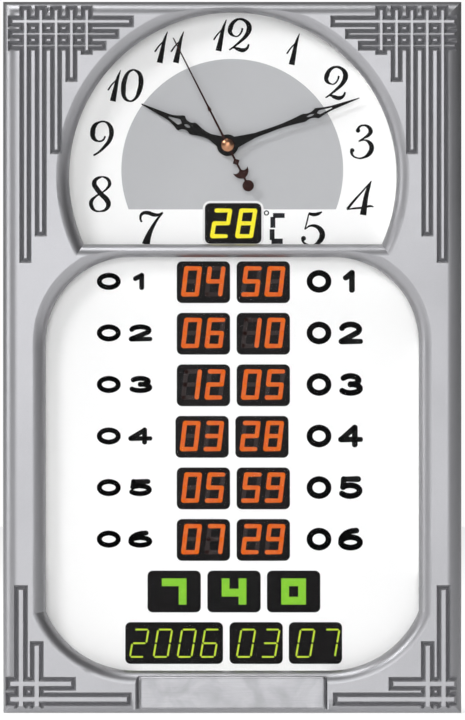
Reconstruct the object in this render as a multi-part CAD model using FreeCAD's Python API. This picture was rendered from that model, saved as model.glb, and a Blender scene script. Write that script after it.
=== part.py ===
"""Wall-hung prayer-time clock: silver moulded case, analogue dial above, LED display panel below.

Millimetres. X to the right as seen from the front, Z up, Y into the wall. The origin is the centre of
the flat back that lies against the wall, so the whole clock has negative Y.
"""
import FreeCAD, Part
import math
import os

# Case
CASE_WIDTH = 308.0
CASE_HEIGHT = 478.0
CASE_DEPTH = 46.0
EDGE_ROUNDING = 10.0
SIDE_WALL = 2.6
FRONT_WALL = 3.8
REAR_EDGE_STEP = 0.4

# Openings in the front of the case
LIP_ROUNDING = 9.4
LIP_CREST = 0.03
LIP_WALL = 2.6
DIAL_CENTRE_X = 0.4
DIAL_CENTRE_DROP = 117.2
DIAL_RADIUS = 110.0
DIAL_CHORD_DROP = 45.6
WINDOW_SIDE_BAND = 28.7
WINDOW_TOP_BRIDGE = 8.8
WINDOW_FOOT_BAND = 28.6
WINDOW_TOP_RADIUS = 57.0
WINDOW_BOTTOM_RADIUS = 65.0
WINDOW_BOTTOM_ARC_INSET = 60.0

# Lattice of crossing bars in each corner, cut as grooves with sloping sides
GROOVE_DEPTH = 2.2
GROOVE_HALF_WIDTH = 1.65
LATTICE_DEPTH = 3.6
UPPER_BAR_WIDTH = 4.85
UPPER_BAR_PITCH = 10.3
UPPER_BAR_LENGTHS = (174.0, 156.2, 101.0, 52.6, 34.4)
UPPER_BAR_INSET_LEFT = 15.2
UPPER_BAR_INSET_RIGHT = 12.8
UPPER_BAR_TOP_INSET = 4.5
UPPER_CROSS_DROPS = (13.5, 21.9, 29.8)
UPPER_CROSS_WIDTHS = (4.8, 3.8, 3.5)
UPPER_CROSS_REACHES = (86.5, 76.7, 68.1)
UPPER_CROSS_INSET_LEFT = 5.0
UPPER_CROSS_INSET_RIGHT = 3.4
LOWER_BAR_WIDTH = 6.05
LOWER_BAR_INSETS = (12.2, 22.8)
LOWER_BAR_HEIGHTS = (84.6, 47.1)
LOWER_BAR_END_INSET = 3.3
LOWER_CROSS_RISES = (20.0, 9.6)
LOWER_CROSS_REACHES = (47.5, 84.9)
LOWER_CROSS_INSET = 3.5

# Nameplate at the foot
PLATE_WIDTH = 125.4
PLATE_HEIGHT = 21.8
PLATE_CENTRE_X = 0.1
PLATE_FOOT_BAND = 3.0
PLATE_THICKNESS = 2.4
PLATE_BEVEL = 0.9
PLATE_FLOOR_DEPTH = 2.6
PLATE_GAP = 0.15
PLATE_SLOPE_LEFT = 2.5
PLATE_SLOPE_RIGHT = 1.0
PLATE_SLOPE_TOP = 2.6
PLATE_PAD_BORDER = 1.2

# Sheets behind the openings, from the front backwards
PANE_THICKNESS = 2.0
PANE_OVERLAP = 8.7
PANE_TOP_GAP = 0.9
PANEL_THICKNESS = 1.5
PANEL_OVERLAP = 5.7
DIAL_RECESS = 9.4
DIAL_THICKNESS = 1.6
DIAL_PLATE_OVERLAP = 9.0
SHEET_EDGE_GAP = 1.5
SPACER_WALL = 2.0
SPACER_SETBACK = 1.2
SPACER_ARC_START = 48.0
HAND_SWEEP_GAP = 0.6
PANEL_SWEEP_GAP = 1.0
CHASSIS_THICKNESS = 2.4
CHASSIS_GAP = 1.4
CHASSIS_FOOT_GAP = 14.4

# LED modules
MODULE_WIDTH = 35.6
MODULE_ROW_GAP = 6.85
MODULE_CORNER = 3.6
MODULE_RECESS = 0.2
MODULE_GAP = 0.15
LONG_MODULE_WIDTH = 65.5
TOP_ROW_DROP = 16.7
FOOT_ROW_RISE = 18.2
TIME_ROWS = 6
TIME_COLUMNS_X = (-19.4, 20.9)
TIME_ROW_SHIFTS = (0.0, 0.0, 0.0, -0.9, 0.0, 0.0)
DAY_COLUMNS_X = (-39.1, 1.2, 41.3)
YEAR_X = -39.1
DATE_COLUMNS_X = (16.1, 56.0)
TEMPERATURE_WIDTH = 38.1
TEMPERATURE_HEIGHT = 27.4
TEMPERATURE_X = 0.6
TEMPERATURE_RISE = 14.1
TEMPERATURE_DEPTH = 9.0

# Boards
BOARD_THICKNESS = 1.6
DISPLAY_BOARD_INSET = 15.3
DISPLAY_BOARD_TOP_GAP = 0.4
DISPLAY_BOARD_FOOT_GAP = 1.6
CHASSIS_WINDOW_GAP = 1.0
SPACER_TUBE_RADIUS = 3.0
SPACER_TUBE_BORE = 1.5
SPACER_TUBE_X = 60.0
SPACER_TUBE_ROWS = (0.0, 2.5, 5.0)
SPACER_TUBE_FOOT_INSET = 15.0
TEMPERATURE_BOARD_MARGIN = 5.0
CONTROL_BOARD_SIZE = (90.0, 83.0)
CONTROL_BOARD_INSET = 36.0
CONTROL_BOARD_RISE = 64.0
STANDOFF_HEIGHT = 5.0
STANDOFF_RADIUS = 3.0
CONTROL_SCREWS = ((4.0, 4.0), (54.0, 4.0), (4.0, 79.0), (70.0, 79.0))
DISPLAY_SCREW_INSET = 4.0

# Screws
POST_RADIUS = 4.0
POST_INSET = 11.0
POST_END_INSET = 34.0
POST_SPAN = 70.0
FOOT_POST_X = 72.0
FOOT_POST_RISE = 11.0
CHASSIS_SCREW_END_INSET = 102.0
SCREW_RADIUS = 1.3
SCREW_HEAD_RADIUS = 2.9
SCREW_HEAD_HEIGHT = 1.7
SCREW_LENGTH = 12.0
SMALL_SCREW_RADIUS = 0.95
SMALL_SCREW_HEAD_RADIUS = 2.0
SMALL_SCREW_HEAD_HEIGHT = 1.2
SMALL_SCREW_LENGTH = 3.6
SCREW_CLEARANCE = 0.1
HOLE_CLEARANCE = 0.3
CROSS_DEPTH = 0.8
CROSS_WIDTH = 0.6

# Rear cover
COVER_THICKNESS = 2.5
COVER_GAP = 0.4
CUP_RADIUS = 5.2
CUP_DEPTH = 5.0
CUP_SEAT_DEPTH = 3.4
KEYHOLE_INSET = 54.0
KEYHOLE_DROP = 53.0
KEYHOLE_HEAD_RADIUS = 4.5
KEYHOLE_SLOT_RADIUS = 2.3
KEYHOLE_RISE = 10.0
DOOR_HALF_SIZE = 30.0
DOOR_LEDGE = 3.0
DOOR_THICKNESS = 1.6
DOOR_GAP = 0.3
DOOR_NOTCH_RADIUS = 7.0
DOOR_NOTCH_DEPTH = 0.8

# Hands and the shaft they turn on
SHAFT_X = -3.1
SHAFT_RISE = 21.1
HOUR_ANGLE = 295.6
MINUTE_ANGLE = 70.3
SECOND_ANGLE = 333.1
HAND_THICKNESS = 0.4
HAND_COLLAR_HEIGHT = 0.6
HAND_COLLAR_WALL = 0.9
HOUR_HAND_LENGTH = 64.4
HOUR_HAND_BOSS = 7.3
MINUTE_HAND_LENGTH = 94.2
MINUTE_HAND_BOSS = 7.0
SECOND_HAND_LENGTH = 80.9
SECOND_HAND_BOSS = 4.7
SECOND_HAND_DISC = 3.85
SECOND_HAND_DISC_PLACE = 30.6
HOUR_HAND_RISE = 3.8
MINUTE_HAND_RISE = 5.6
SECOND_HAND_RISE = 7.2
CAP_RADIUS = 4.2
CAP_HEIGHT = 1.3

# Shafts of the movement, from the outside inwards
BUSH_RADIUS = 4.0
BUSH_BORE = 2.46
BUSH_FLANGE_RADIUS = 5.5
BUSH_FLANGE_THICKNESS = 0.5
BUSH_PROUD = 2.6
PIPE_RADIUS = 2.4
PIPE_BORE = 1.68
MINUTE_SHAFT_RADIUS = 1.6
MINUTE_SHAFT_BORE = 0.82
SECOND_SHAFT_RADIUS = 0.75
SHAFT_PROUD_OF_HAND = 0.2
NUT_ACROSS_FLATS = 12.0
NUT_THICKNESS = 2.0
NUT_GAP = 0.02
WASHER_RADIUS = 7.0
WASHER_THICKNESS = 0.4
GASKET_RADIUS = 12.0
GASKET_THICKNESS = 0.5

# Movement housing
MOVEMENT_HALF_SIZE = 28.0
MOVEMENT_WALL = 1.5
MOVEMENT_BAY_WALL = 0.8
MOVEMENT_BACK_THICKNESS = 1.5
BRIDGE_THICKNESS = 0.8
BRIDGE_TOP = 19.5
BRIDGE_POST_RADIUS = 1.5
BRIDGE_POST_X = 24.5
BRIDGE_POSTS_Z = (-9.0, 17.5)
LAYER_GAP = 0.3
HOUR_LAYER = 1.2
MOTION_LAYER = 1.2
CENTRE_LAYER = 1.0
THIRD_LAYER = 1.0
SECOND_LAYER = 1.2
FIFTH_LAYER = 1.2

# Wheels: tooth counts and the distances between their shafts
MINUTE_PINION_TEETH = 12
MOTION_WHEEL_TEETH = 36
MOTION_PINION_TEETH = 12
HOUR_WHEEL_TEETH = 48
CENTRE_WHEEL_TEETH = 75
THIRD_PINION_TEETH = 10
THIRD_WHEEL_TEETH = 80
SECOND_PINION_TEETH = 10
SECOND_WHEEL_TEETH = 60
FIFTH_PINION_TEETH = 10
FIFTH_WHEEL_TEETH = 50
ROTOR_PINION_TEETH = 10
SETTING_PINION_TEETH = 10
MOTION_DISTANCE = 12.0
THIRD_DISTANCE = 12.6
FIFTH_DISTANCE = 9.8
ROTOR_DISTANCE = 8.4
MOTION_DIRECTION = 180.0
THIRD_DIRECTION = 30.0
FIFTH_DIRECTION = 100.0
ROTOR_DIRECTION = 150.0
SETTING_DIRECTION = 170.0
TOOTH_SHARE = 0.38
ADDENDUM = 0.8
DEDENDUM = 1.05
PRESSURE_ANGLE = 20.0
MOTION_POST_RADIUS = 1.0
THIRD_SHAFT_RADIUS = 0.55
FIFTH_SHAFT_RADIUS = 0.5
ROTOR_SHAFT_RADIUS = 0.4
ROTOR_MAGNET_RADIUS = 2.8
SETTING_SHAFT_RADIUS = 1.0
SETTING_KNOB_RADIUS = 3.3
SETTING_KNOB_HEIGHT = 2.8
RUNNING_CLEARANCE = 0.06
PIVOT_DEPTH = 1.0

# Motor
STATOR_LEFT = -26.0
STATOR_RIGHT = 2.2
STATOR_LEG = 3.2
STATOR_BAR_Z = (12.2, 15.5)
STATOR_TOP = 24.6
STATOR_LOBE_RADIUS = 5.2
STATOR_AIR_GAP = 0.5
CORE_Z = 23.0
CORE_SIZE = 1.2
COIL_RADIUS = 2.3
COIL_BORE = 0.9
COIL_END_GAP = 0.4
QUARTZ_BOARD_X = (5.0, 25.0)
QUARTZ_BOARD_Z = (20.0, 26.0)
QUARTZ_BOARD_THICKNESS = 1.0
CRYSTAL_RADIUS = 1.0
CRYSTAL_LENGTH = 6.0

# Cell of the movement
CELL_RADIUS = 7.25
CELL_LENGTH = 49.5
CELL_NUB_RADIUS = 2.6
CELL_NUB_LENGTH = 1.0
CELL_GAP = 0.15
CONTACT_THICKNESS = 0.4
CONTACT_WIDTH = 9.0

# Controls on the control board, reached through the rear cover
KEY_PLACES = (10.0, 26.0, 42.0, 58.0)
KEY_RISE = 63.0
KEY_RADIUS = 4.0
KEY_FLANGE_RADIUS = 5.2
KEY_FLANGE_THICKNESS = 1.1
KEY_STEM_RADIUS = 1.8
KEY_TRAVEL = 0.8
KEY_BELOW_BACK = 0.5
KEY_SEAT_GAP = 0.3
KEY_HOLE_GAP = 0.2
SWITCH_SIZE = 6.0
SWITCH_HEIGHT = 4.0
PLUNGER_RADIUS = 1.6
PLUNGER_HEIGHT = 0.5
VOLUME_PLACE = (14.0, 17.0)
VOLUME_BODY = 10.0
VOLUME_BODY_HEIGHT = 5.0
VOLUME_BUSH_RADIUS = 3.2
VOLUME_BUSH_HEIGHT = 1.2
VOLUME_SHAFT_RADIUS = 2.0
VOLUME_KNOB_RADIUS = 6.5
VOLUME_BELOW_BACK = 0.6
VOLUME_SLOT_WIDTH = 1.4
VOLUME_SLOT_DEPTH = 1.2
VOLUME_RIBS = 18
POWER_PLACE = (70.0, 17.0)
POWER_BODY = (13.0, 6.4, 5.0)
POWER_TRAVEL = 3.0
POWER_STEM = 3.0
POWER_CAP = (5.0, 4.0)
POWER_FOOT_DEPTH = 2.0
POWER_BELOW_BACK = 0.7
POWER_GAP = 0.2

# Power inlet in the foot of the case
JACK_PLACE = 24.0
JACK_Y = -14.0
JACK_BARREL_RADIUS = 4.0
JACK_BORE = 2.9
JACK_BORE_DEPTH = 9.0
JACK_PIN_RADIUS = 1.0
JACK_BODY = (11.0, 10.0, 11.0)
JACK_BELOW_FOOT = 0.3
JACK_GAP = 0.1

# Backup cell
COIN_PLACE = (42.0, 23.0)
COIN_RADIUS = 10.0
COIN_THICKNESS = 3.2
COIN_HOLDER_HEIGHT = 1.2

# Loudspeaker
SPEAKER_INSET = 84.0
SPEAKER_RISE = 89.0
SPEAKER_RADIUS = 28.5
SPEAKER_FLANGE = 1.2
SPEAKER_RIM = 3.5
SPEAKER_DEPTH = 9.5
SPEAKER_THROAT = 13.0
SPEAKER_SHEET = 0.9
CONE_THICKNESS = 0.5
CONE_NECK = 6.0
MAGNET_RADIUS = 16.0
MAGNET_THICKNESS = 5.0
SPEAKER_SCREW_CIRCLE = 31.2
SPEAKER_SCREW_HEAD_RADIUS = 3.4
GRILLE_RADIUS = 23.0
GRILLE_SLOT = 2.2
GRILLE_PITCH = 4.6

# Ribbon between the boards
RIBBON_PLACE = (46.0, 66.0)
RIBBON_RISE = 8.0
RIBBON_THICKNESS = 0.9
RIBBON_BEND = 2.2
RIBBON_PLUG = (22.0, 5.0, 3.4)

# Control board's parts: place on the board, from its lower left corner, width, height and rise
CHIP_BLOCKS = (
    (68.0, 43.0, 20.0, 10.0, 3.2),
    (6.0, 45.0, 10.0, 6.0, 2.2),
    (20.0, 45.0, 10.0, 6.0, 2.2),
    (34.0, 45.0, 10.0, 6.0, 2.2),
)
CAPACITOR_PLACES = ((68.0, 33.0), (78.0, 33.0))
CAPACITOR_RADIUS = 3.2
CAPACITOR_HEIGHT = 7.0

# Places across the case that follow from the sizes above
HALF_WIDTH = CASE_WIDTH / 2
HALF_HEIGHT = CASE_HEIGHT / 2
INNER_HALF_WIDTH = HALF_WIDTH - SIDE_WALL
INNER_HALF_HEIGHT = HALF_HEIGHT - SIDE_WALL
DIAL_CENTRE_Z = HALF_HEIGHT - DIAL_CENTRE_DROP
DIAL_CHORD_Z = DIAL_CENTRE_Z - DIAL_CHORD_DROP
WINDOW_HALF_WIDTH = HALF_WIDTH - WINDOW_SIDE_BAND
WINDOW_TOP_Z = DIAL_CHORD_Z - WINDOW_TOP_BRIDGE
WINDOW_BOTTOM_Z = WINDOW_FOOT_BAND - HALF_HEIGHT
WINDOW_BOTTOM_ARC_X = WINDOW_HALF_WIDTH - WINDOW_BOTTOM_ARC_INSET
PLATE_TOP_Z = PLATE_FOOT_BAND + PLATE_HEIGHT - HALF_HEIGHT
PANE_HALF_WIDTH = WINDOW_HALF_WIDTH + PANE_OVERLAP
PANE_TOP_Z = INNER_HALF_HEIGHT - PANE_TOP_GAP
PANE_BOTTOM_Z = WINDOW_BOTTOM_Z - PANE_OVERLAP
PANEL_HALF_WIDTH = WINDOW_HALF_WIDTH + PANEL_OVERLAP
PANEL_BOTTOM_Z = WINDOW_BOTTOM_Z - PANEL_OVERLAP
DIAL_PLATE_HALF_WIDTH = DIAL_RADIUS + DIAL_PLATE_OVERLAP
CHASSIS_HALF_WIDTH = INNER_HALF_WIDTH - CHASSIS_GAP
CHASSIS_TOP_Z = INNER_HALF_HEIGHT - CHASSIS_GAP
CHASSIS_BOTTOM_Z = CHASSIS_FOOT_GAP - INNER_HALF_HEIGHT
TOP_ROW_Z = WINDOW_TOP_Z - TOP_ROW_DROP
ROW_PITCH = (TOP_ROW_Z - WINDOW_BOTTOM_Z - FOOT_ROW_RISE) / (TIME_ROWS + 1)
MODULE_HEIGHT = ROW_PITCH - MODULE_ROW_GAP
TEMPERATURE_Z = DIAL_CHORD_Z + TEMPERATURE_RISE
DISPLAY_BOARD_HALF_WIDTH = WINDOW_HALF_WIDTH - DISPLAY_BOARD_INSET
DISPLAY_BOARD_TOP_Z = WINDOW_TOP_Z - DISPLAY_BOARD_TOP_GAP
DISPLAY_BOARD_BOTTOM_Z = WINDOW_BOTTOM_Z - DISPLAY_BOARD_FOOT_GAP
POST_X = HALF_WIDTH - POST_INSET
POST_ROWS_Z = (HALF_HEIGHT - POST_END_INSET, POST_SPAN, -POST_SPAN, POST_END_INSET - HALF_HEIGHT)
FOOT_POST_Z = FOOT_POST_RISE - HALF_HEIGHT
CHASSIS_SCREW_ROWS_Z = (HALF_HEIGHT - CHASSIS_SCREW_END_INSET, 0, CHASSIS_SCREW_END_INSET - HALF_HEIGHT)
KEYHOLE_X = HALF_WIDTH - KEYHOLE_INSET
KEYHOLE_Z = HALF_HEIGHT - KEYHOLE_DROP
SHAFT_Z = DIAL_CENTRE_Z + SHAFT_RISE
CONTROL_LEFT = CONTROL_BOARD_INSET - HALF_WIDTH
CONTROL_FOOT = CONTROL_BOARD_RISE - HALF_HEIGHT
CONTROL_BOARD_X = (CONTROL_LEFT, CONTROL_LEFT + CONTROL_BOARD_SIZE[0])
CONTROL_BOARD_Z = (CONTROL_FOOT, CONTROL_FOOT + CONTROL_BOARD_SIZE[1])
KEY_XS = [CONTROL_LEFT + place for place in KEY_PLACES]
KEY_Z = CONTROL_FOOT + KEY_RISE
VOLUME_X = CONTROL_LEFT + VOLUME_PLACE[0]
VOLUME_Z = CONTROL_FOOT + VOLUME_PLACE[1]
POWER_X = CONTROL_LEFT + POWER_PLACE[0]
POWER_Z = CONTROL_FOOT + POWER_PLACE[1]
JACK_X = CONTROL_LEFT + JACK_PLACE
COIN_X = CONTROL_LEFT + COIN_PLACE[0]
COIN_Z = CONTROL_FOOT + COIN_PLACE[1]
SPEAKER_X = HALF_WIDTH - SPEAKER_INSET
SPEAKER_Z = SPEAKER_RISE - HALF_HEIGHT
RIBBON_X = (CONTROL_LEFT + RIBBON_PLACE[0], CONTROL_LEFT + RIBBON_PLACE[1])
RIBBON_Z = CONTROL_BOARD_Z[1] + RIBBON_RISE

# Places along Y that follow from the sizes above
FACE = -CASE_DEPTH
CAVITY_FACE = FACE + FRONT_WALL
PANE_FRONT = FACE + LIP_ROUNDING + 0.2
PANE_BACK = PANE_FRONT + PANE_THICKNESS
DIAL_FRONT = PANE_BACK + DIAL_RECESS
DIAL_BACK = DIAL_FRONT + DIAL_THICKNESS
CHASSIS_BACK = DIAL_BACK + CHASSIS_THICKNESS
MOVEMENT_FRONT = CHASSIS_BACK + GASKET_THICKNESS
CHAMBER_FRONT = MOVEMENT_FRONT + MOVEMENT_WALL
HOUR_Y = CHAMBER_FRONT + BUSH_FLANGE_THICKNESS + LAYER_GAP
MOTION_Y = HOUR_Y + HOUR_LAYER + LAYER_GAP
CENTRE_Y = MOTION_Y + MOTION_LAYER + LAYER_GAP
THIRD_Y = CENTRE_Y + CENTRE_LAYER + LAYER_GAP
BRIDGE_Y = THIRD_Y + THIRD_LAYER + LAYER_GAP
SECOND_Y = BRIDGE_Y + BRIDGE_THICKNESS + LAYER_GAP
FIFTH_Y = SECOND_Y + SECOND_LAYER + LAYER_GAP
CHAMBER_BACK = FIFTH_Y + FIFTH_LAYER + LAYER_GAP
MOVEMENT_BACK = CHAMBER_BACK + MOVEMENT_BACK_THICKNESS
COVER_INNER = -COVER_THICKNESS
CONTROL_FRONT = CHASSIS_BACK + STANDOFF_HEIGHT
CONTROL_BACK = CONTROL_FRONT + BOARD_THICKNESS
HOUR_HAND_Y = DIAL_FRONT - HOUR_HAND_RISE
MINUTE_HAND_Y = DIAL_FRONT - MINUTE_HAND_RISE
SECOND_HAND_Y = DIAL_FRONT - SECOND_HAND_RISE
PANEL_FRONT = MINUTE_HAND_Y + HAND_THICKNESS + PANEL_SWEEP_GAP
PANEL_BACK = PANEL_FRONT + PANEL_THICKNESS
DISPLAY_BOARD_BACK = CHASSIS_BACK + BOARD_THICKNESS

FAR = 2 * CASE_HEIGHT
TOOL_MARGIN = 4.0

vec = FreeCAD.Vector
Y_AXIS = vec(0, 1, 0)


def block(x, y, z):
    """Box between the two values of each pair."""
    return Part.makeBox(x[1] - x[0], y[1] - y[0], z[1] - z[0], vec(x[0], y[0], z[0]))


def rod(x, z, radius, y):
    """Cylinder along Y between the two values of y."""
    return Part.makeCylinder(radius, y[1] - y[0], vec(x, y[0], z), Y_AXIS)


def tube(x, z, outer, inner, y):
    """Hollow cylinder along Y."""
    return rod(x, z, outer, y).cut(rod(x, z, inner, y))


def join(solids):
    """One solid of several that touch or overlap."""
    joined = solids[0]
    if len(solids) > 1:
        joined = solids[0].multiFuse(solids[1:])
    return joined.removeSplitter()


def drill(solid, tools):
    """The solid without the tools."""
    return solid.cut(Part.makeCompound(tools))


def frustum(x, z, y, grow):
    """Block along Y from the rectangle at y[1] to one that is wider by grow on every side at y[0]."""
    return Part.makeWedge(
        x[0] - grow, y[0], z[0] - grow, z[0], x[0],
        x[1] + grow, y[1], z[1] + grow, z[1], x[1],
    )


def slab(points, y):
    """Flat plate with straight sides, from its corners (x, z)."""
    wire = Part.makePolygon([vec(x, y[0], z) for x, z in points + points[:1]])
    return Part.Face(wire).extrude(vec(0, y[1] - y[0], 0))


def rounded_block(centre, size, radius, y):
    """Plate with rounded corners."""
    (cx, cz), (width, height) = centre, size
    body = block((cx - width / 2, cx + width / 2), y, (cz - height / 2, cz + height / 2))
    edges = [e for e in body.Edges if abs(e.tangentAt(e.FirstParameter).y) > 0.9]
    return body.makeFillet(radius, edges)


def polar(distance, degrees, start=(0.0, 0.0)):
    """Point at a distance and direction from start, anticlockwise from +X as seen from the front."""
    angle = math.radians(degrees)
    return start[0] + distance * math.cos(angle), start[1] + distance * math.sin(angle)


# Openings

def flared_face(place, start, edge, lip, face, depth):
    """Section of what an opening takes out, from start to its edge, flaring where it meets the face.

    place(distance, y) gives the point of the section.
    """
    sign = 1 if edge > start else -1
    outer = edge + sign * lip
    side = math.sqrt(0.5) * lip
    front = face - TOOL_MARGIN
    round_lip = Part.Arc(
        place(outer, face), place(outer - sign * side, face + lip - side), place(edge, face + lip)
    )
    corners = [place(edge, depth), place(start, depth), place(start, front), place(outer, front)]
    runs = [
        round_lip.toShape(),
        Part.LineSegment(place(edge, face + lip), corners[0]).toShape(),
        Part.LineSegment(corners[0], corners[1]).toShape(),
        Part.LineSegment(corners[1], corners[2]).toShape(),
        Part.LineSegment(corners[2], corners[3]).toShape(),
        Part.LineSegment(corners[3], place(outer, face)).toShape(),
    ]
    return Part.Face(Part.Wire(Part.__sortEdges__(runs)))


def flared_disc(x, z, radius, lip, face, depth):
    """Round tool with a flared front."""
    section = flared_face(lambda distance, y: vec(x + distance, y, z), 0, radius, lip, face, depth)
    return section.revolve(vec(x, 0, z), Y_AXIS, 360)


def flared_side(start, edge, span, lip, face, depth):
    """Tool with one flared upright side at x = edge, over the heights of span."""
    section = flared_face(lambda distance, y: vec(distance, y, span[0]), start, edge, lip, face, depth)
    return section.extrude(vec(0, 0, span[1] - span[0]))


def flared_level(start, edge, span, lip, face, depth):
    """Tool with one flared level side at z = edge, over the widths of span."""
    section = flared_face(lambda distance, y: vec(span[0], y, distance), start, edge, lip, face, depth)
    return section.extrude(vec(span[1] - span[0], 0, 0))


def dial_tool(face, grow, lip, depth):
    """What the dial opening takes out: a circle cut off by a chord, flaring out at the front."""
    bowl = flared_disc(DIAL_CENTRE_X, DIAL_CENTRE_Z, DIAL_RADIUS + grow, lip, face, depth)
    return bowl.common(flared_level(FAR, DIAL_CHORD_Z - grow, (-FAR, FAR), lip, face, depth))


def window_tools(face, grow, lip, depth):
    """What the lower opening takes out, piece by piece, flaring out at the front."""
    half = WINDOW_HALF_WIDTH + grow
    shoulder_x = WINDOW_HALF_WIDTH - WINDOW_TOP_RADIUS
    shoulder_z = WINDOW_TOP_Z - WINDOW_TOP_RADIUS
    foot_x = WINDOW_BOTTOM_ARC_X
    foot_z = WINDOW_BOTTOM_Z + WINDOW_BOTTOM_RADIUS
    ends = (lip, face, depth)
    shoulders = [
        flared_disc(side * shoulder_x, shoulder_z, WINDOW_TOP_RADIUS + grow, *ends) for side in (-1, 1)
    ]
    levels = [
        flared_level(foot_z, WINDOW_TOP_Z + grow, (-shoulder_x, shoulder_x), *ends),
        flared_level(foot_z, WINDOW_BOTTOM_Z - grow, (-foot_x, foot_x), *ends),
    ]
    sides = [flared_side(0, side * half, (foot_z, shoulder_z), *ends) for side in (-1, 1)]
    corners = []
    for side in (-1, 1):
        corner = flared_disc(side * foot_x, foot_z, WINDOW_BOTTOM_RADIUS + grow, *ends)
        corners.append(corner.common(flared_side(0, side * half, (-FAR, FAR), *ends)))
    return shoulders + levels + sides + corners


def cut_openings(body, face, grow, lip, depth):
    """The body without both openings; each tool is cut on its own to keep their crossing lips sound."""
    for tool in [dial_tool(face, grow, lip, depth)] + window_tools(face, grow, lip, depth):
        body = body.cut(tool)
    return body


# Case

def cased_block(inset, face, rounding, back):
    """Block of the case's outline, inset on its sides, with rounded front edges."""
    x = HALF_WIDTH - inset
    z = HALF_HEIGHT - inset
    body = block((-x, x), (face, back), (-z, z))
    edges = [e for e in body.Edges if e.BoundBox.YMax < face + 0.01]
    return body.makeFillet(rounding, edges)


def upper_bars(side):
    """Bars (x range, z range, outer side, lower side) of one upper corner; side is -1 or 1."""
    inset = UPPER_BAR_INSET_LEFT if side < 0 else UPPER_BAR_INSET_RIGHT
    cross_inset = UPPER_CROSS_INSET_LEFT if side < 0 else UPPER_CROSS_INSET_RIGHT
    half = UPPER_BAR_WIDTH / 2
    bars = []
    for number, length in enumerate(UPPER_BAR_LENGTHS):
        x = side * (HALF_WIDTH - inset - number * UPPER_BAR_PITCH)
        bars.append(((x - half, x + half), (HALF_HEIGHT - length, HALF_HEIGHT - UPPER_BAR_TOP_INSET)))
    for drop, width, reach in zip(UPPER_CROSS_DROPS, UPPER_CROSS_WIDTHS, UPPER_CROSS_REACHES):
        ends = sorted((side * (HALF_WIDTH - cross_inset), side * (HALF_WIDTH - reach)))
        z = HALF_HEIGHT - drop
        bars.append((tuple(ends), (z - width / 2, z + width / 2)))
    return bars


def lower_bars(side):
    """Bars of one lower corner."""
    half = LOWER_BAR_WIDTH / 2
    foot = LOWER_BAR_END_INSET - HALF_HEIGHT
    bars = []
    for inset, height in zip(LOWER_BAR_INSETS, LOWER_BAR_HEIGHTS):
        x = side * (HALF_WIDTH - inset)
        bars.append(((x - half, x + half), (foot, height - HALF_HEIGHT)))
    for rise, reach in zip(LOWER_CROSS_RISES, LOWER_CROSS_REACHES):
        ends = sorted((side * (HALF_WIDTH - LOWER_CROSS_INSET), side * (HALF_WIDTH - reach)))
        z = rise - HALF_HEIGHT
        bars.append((tuple(ends), (z - half, z + half)))
    return bars


def lattice_platform(bars):
    """Raised ground of a lattice, level with the face where the case's edge falls away.

    It runs out past the bars on the left and top, and ends with them on the right and at the foot.
    """
    grow = GROOVE_HALF_WIDTH
    right = HALF_WIDTH - UPPER_CROSS_INSET_RIGHT
    foot = LOWER_BAR_END_INSET - HALF_HEIGHT
    parts = []
    for x, z in bars:
        reach_x = (x[0] - grow, min(x[1] + grow, right))
        reach_z = (max(z[0] - grow, foot), z[1] + grow)
        parts.append(block(reach_x, (FACE, FACE + LATTICE_DEPTH), reach_z))
    return parts


def lattice_cut(bars):
    """Grooves along the outline of the crossing bars."""
    bottom = FACE + GROOVE_DEPTH
    above = TOOL_MARGIN / GROOVE_DEPTH
    pockets = [
        frustum(x, z, (FACE - TOOL_MARGIN, bottom), GROOVE_HALF_WIDTH * (1 + above)) for x, z in bars
    ]
    ridges = []
    for x, z in bars:
        narrow = GROOVE_HALF_WIDTH
        top_x = (x[0] + narrow, x[1] - narrow)
        top_z = (z[0] + narrow, z[1] - narrow)
        ridges.append(frustum_up(x, z, top_x, top_z, bottom))
    pocket = pockets[0].multiFuse(pockets[1:])
    ridge = ridges[0].multiFuse(ridges[1:])
    return pocket.cut(ridge)


def frustum_up(x, z, top_x, top_z, bottom):
    """Bar with sloping sides: rectangle x, z at its foot and top_x, top_z at the face."""
    return Part.makeWedge(
        top_x[0], FACE, top_z[0], z[0], x[0],
        top_x[1], bottom, top_z[1], z[1], x[1],
    )


def plate_sides():
    """X range and Z range of the nameplate."""
    x = (PLATE_CENTRE_X - PLATE_WIDTH / 2, PLATE_CENTRE_X + PLATE_WIDTH / 2)
    return x, (PLATE_TOP_Z - PLATE_HEIGHT, PLATE_TOP_Z)


def plate_pad():
    """Raised ground round the nameplate."""
    (left, right), (low, high) = plate_sides()
    border = PLATE_PAD_BORDER
    return block(
        (left - PLATE_SLOPE_LEFT - border, right + PLATE_SLOPE_RIGHT + border),
        (FACE, FACE + LATTICE_DEPTH + 1),
        (low - PLATE_GAP, high + PLATE_SLOPE_TOP + border / 2),
    )


def plate_recess():
    """Recess of the nameplate, with sloping walls at the left, right and top and open at the foot."""
    (left, right), (low, high) = plate_sides()
    gap = PLATE_GAP
    floor = FACE + PLATE_FLOOR_DEPTH
    low -= TOOL_MARGIN
    recess = Part.makeWedge(
        left - PLATE_SLOPE_LEFT, FACE, low, low, left - gap,
        right + PLATE_SLOPE_RIGHT, floor, high + PLATE_SLOPE_TOP, high + gap, right + gap,
    )
    above = block(
        (left - PLATE_SLOPE_LEFT, right + PLATE_SLOPE_RIGHT),
        (FACE - TOOL_MARGIN, FACE), (low, high + PLATE_SLOPE_TOP),
    )
    return recess.fuse(above)


def post_places():
    """Where the cover's screw posts stand."""
    rails = [(side * POST_X, z) for side in (-1, 1) for z in POST_ROWS_Z]
    return rails + [(side * FOOT_POST_X, FOOT_POST_Z) for side in (-1, 1)]


def chassis_screw_places():
    """Where the chassis is screwed down."""
    return [(side * POST_X, z) for side in (-1, 1) for z in CHASSIS_SCREW_ROWS_Z]


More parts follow.
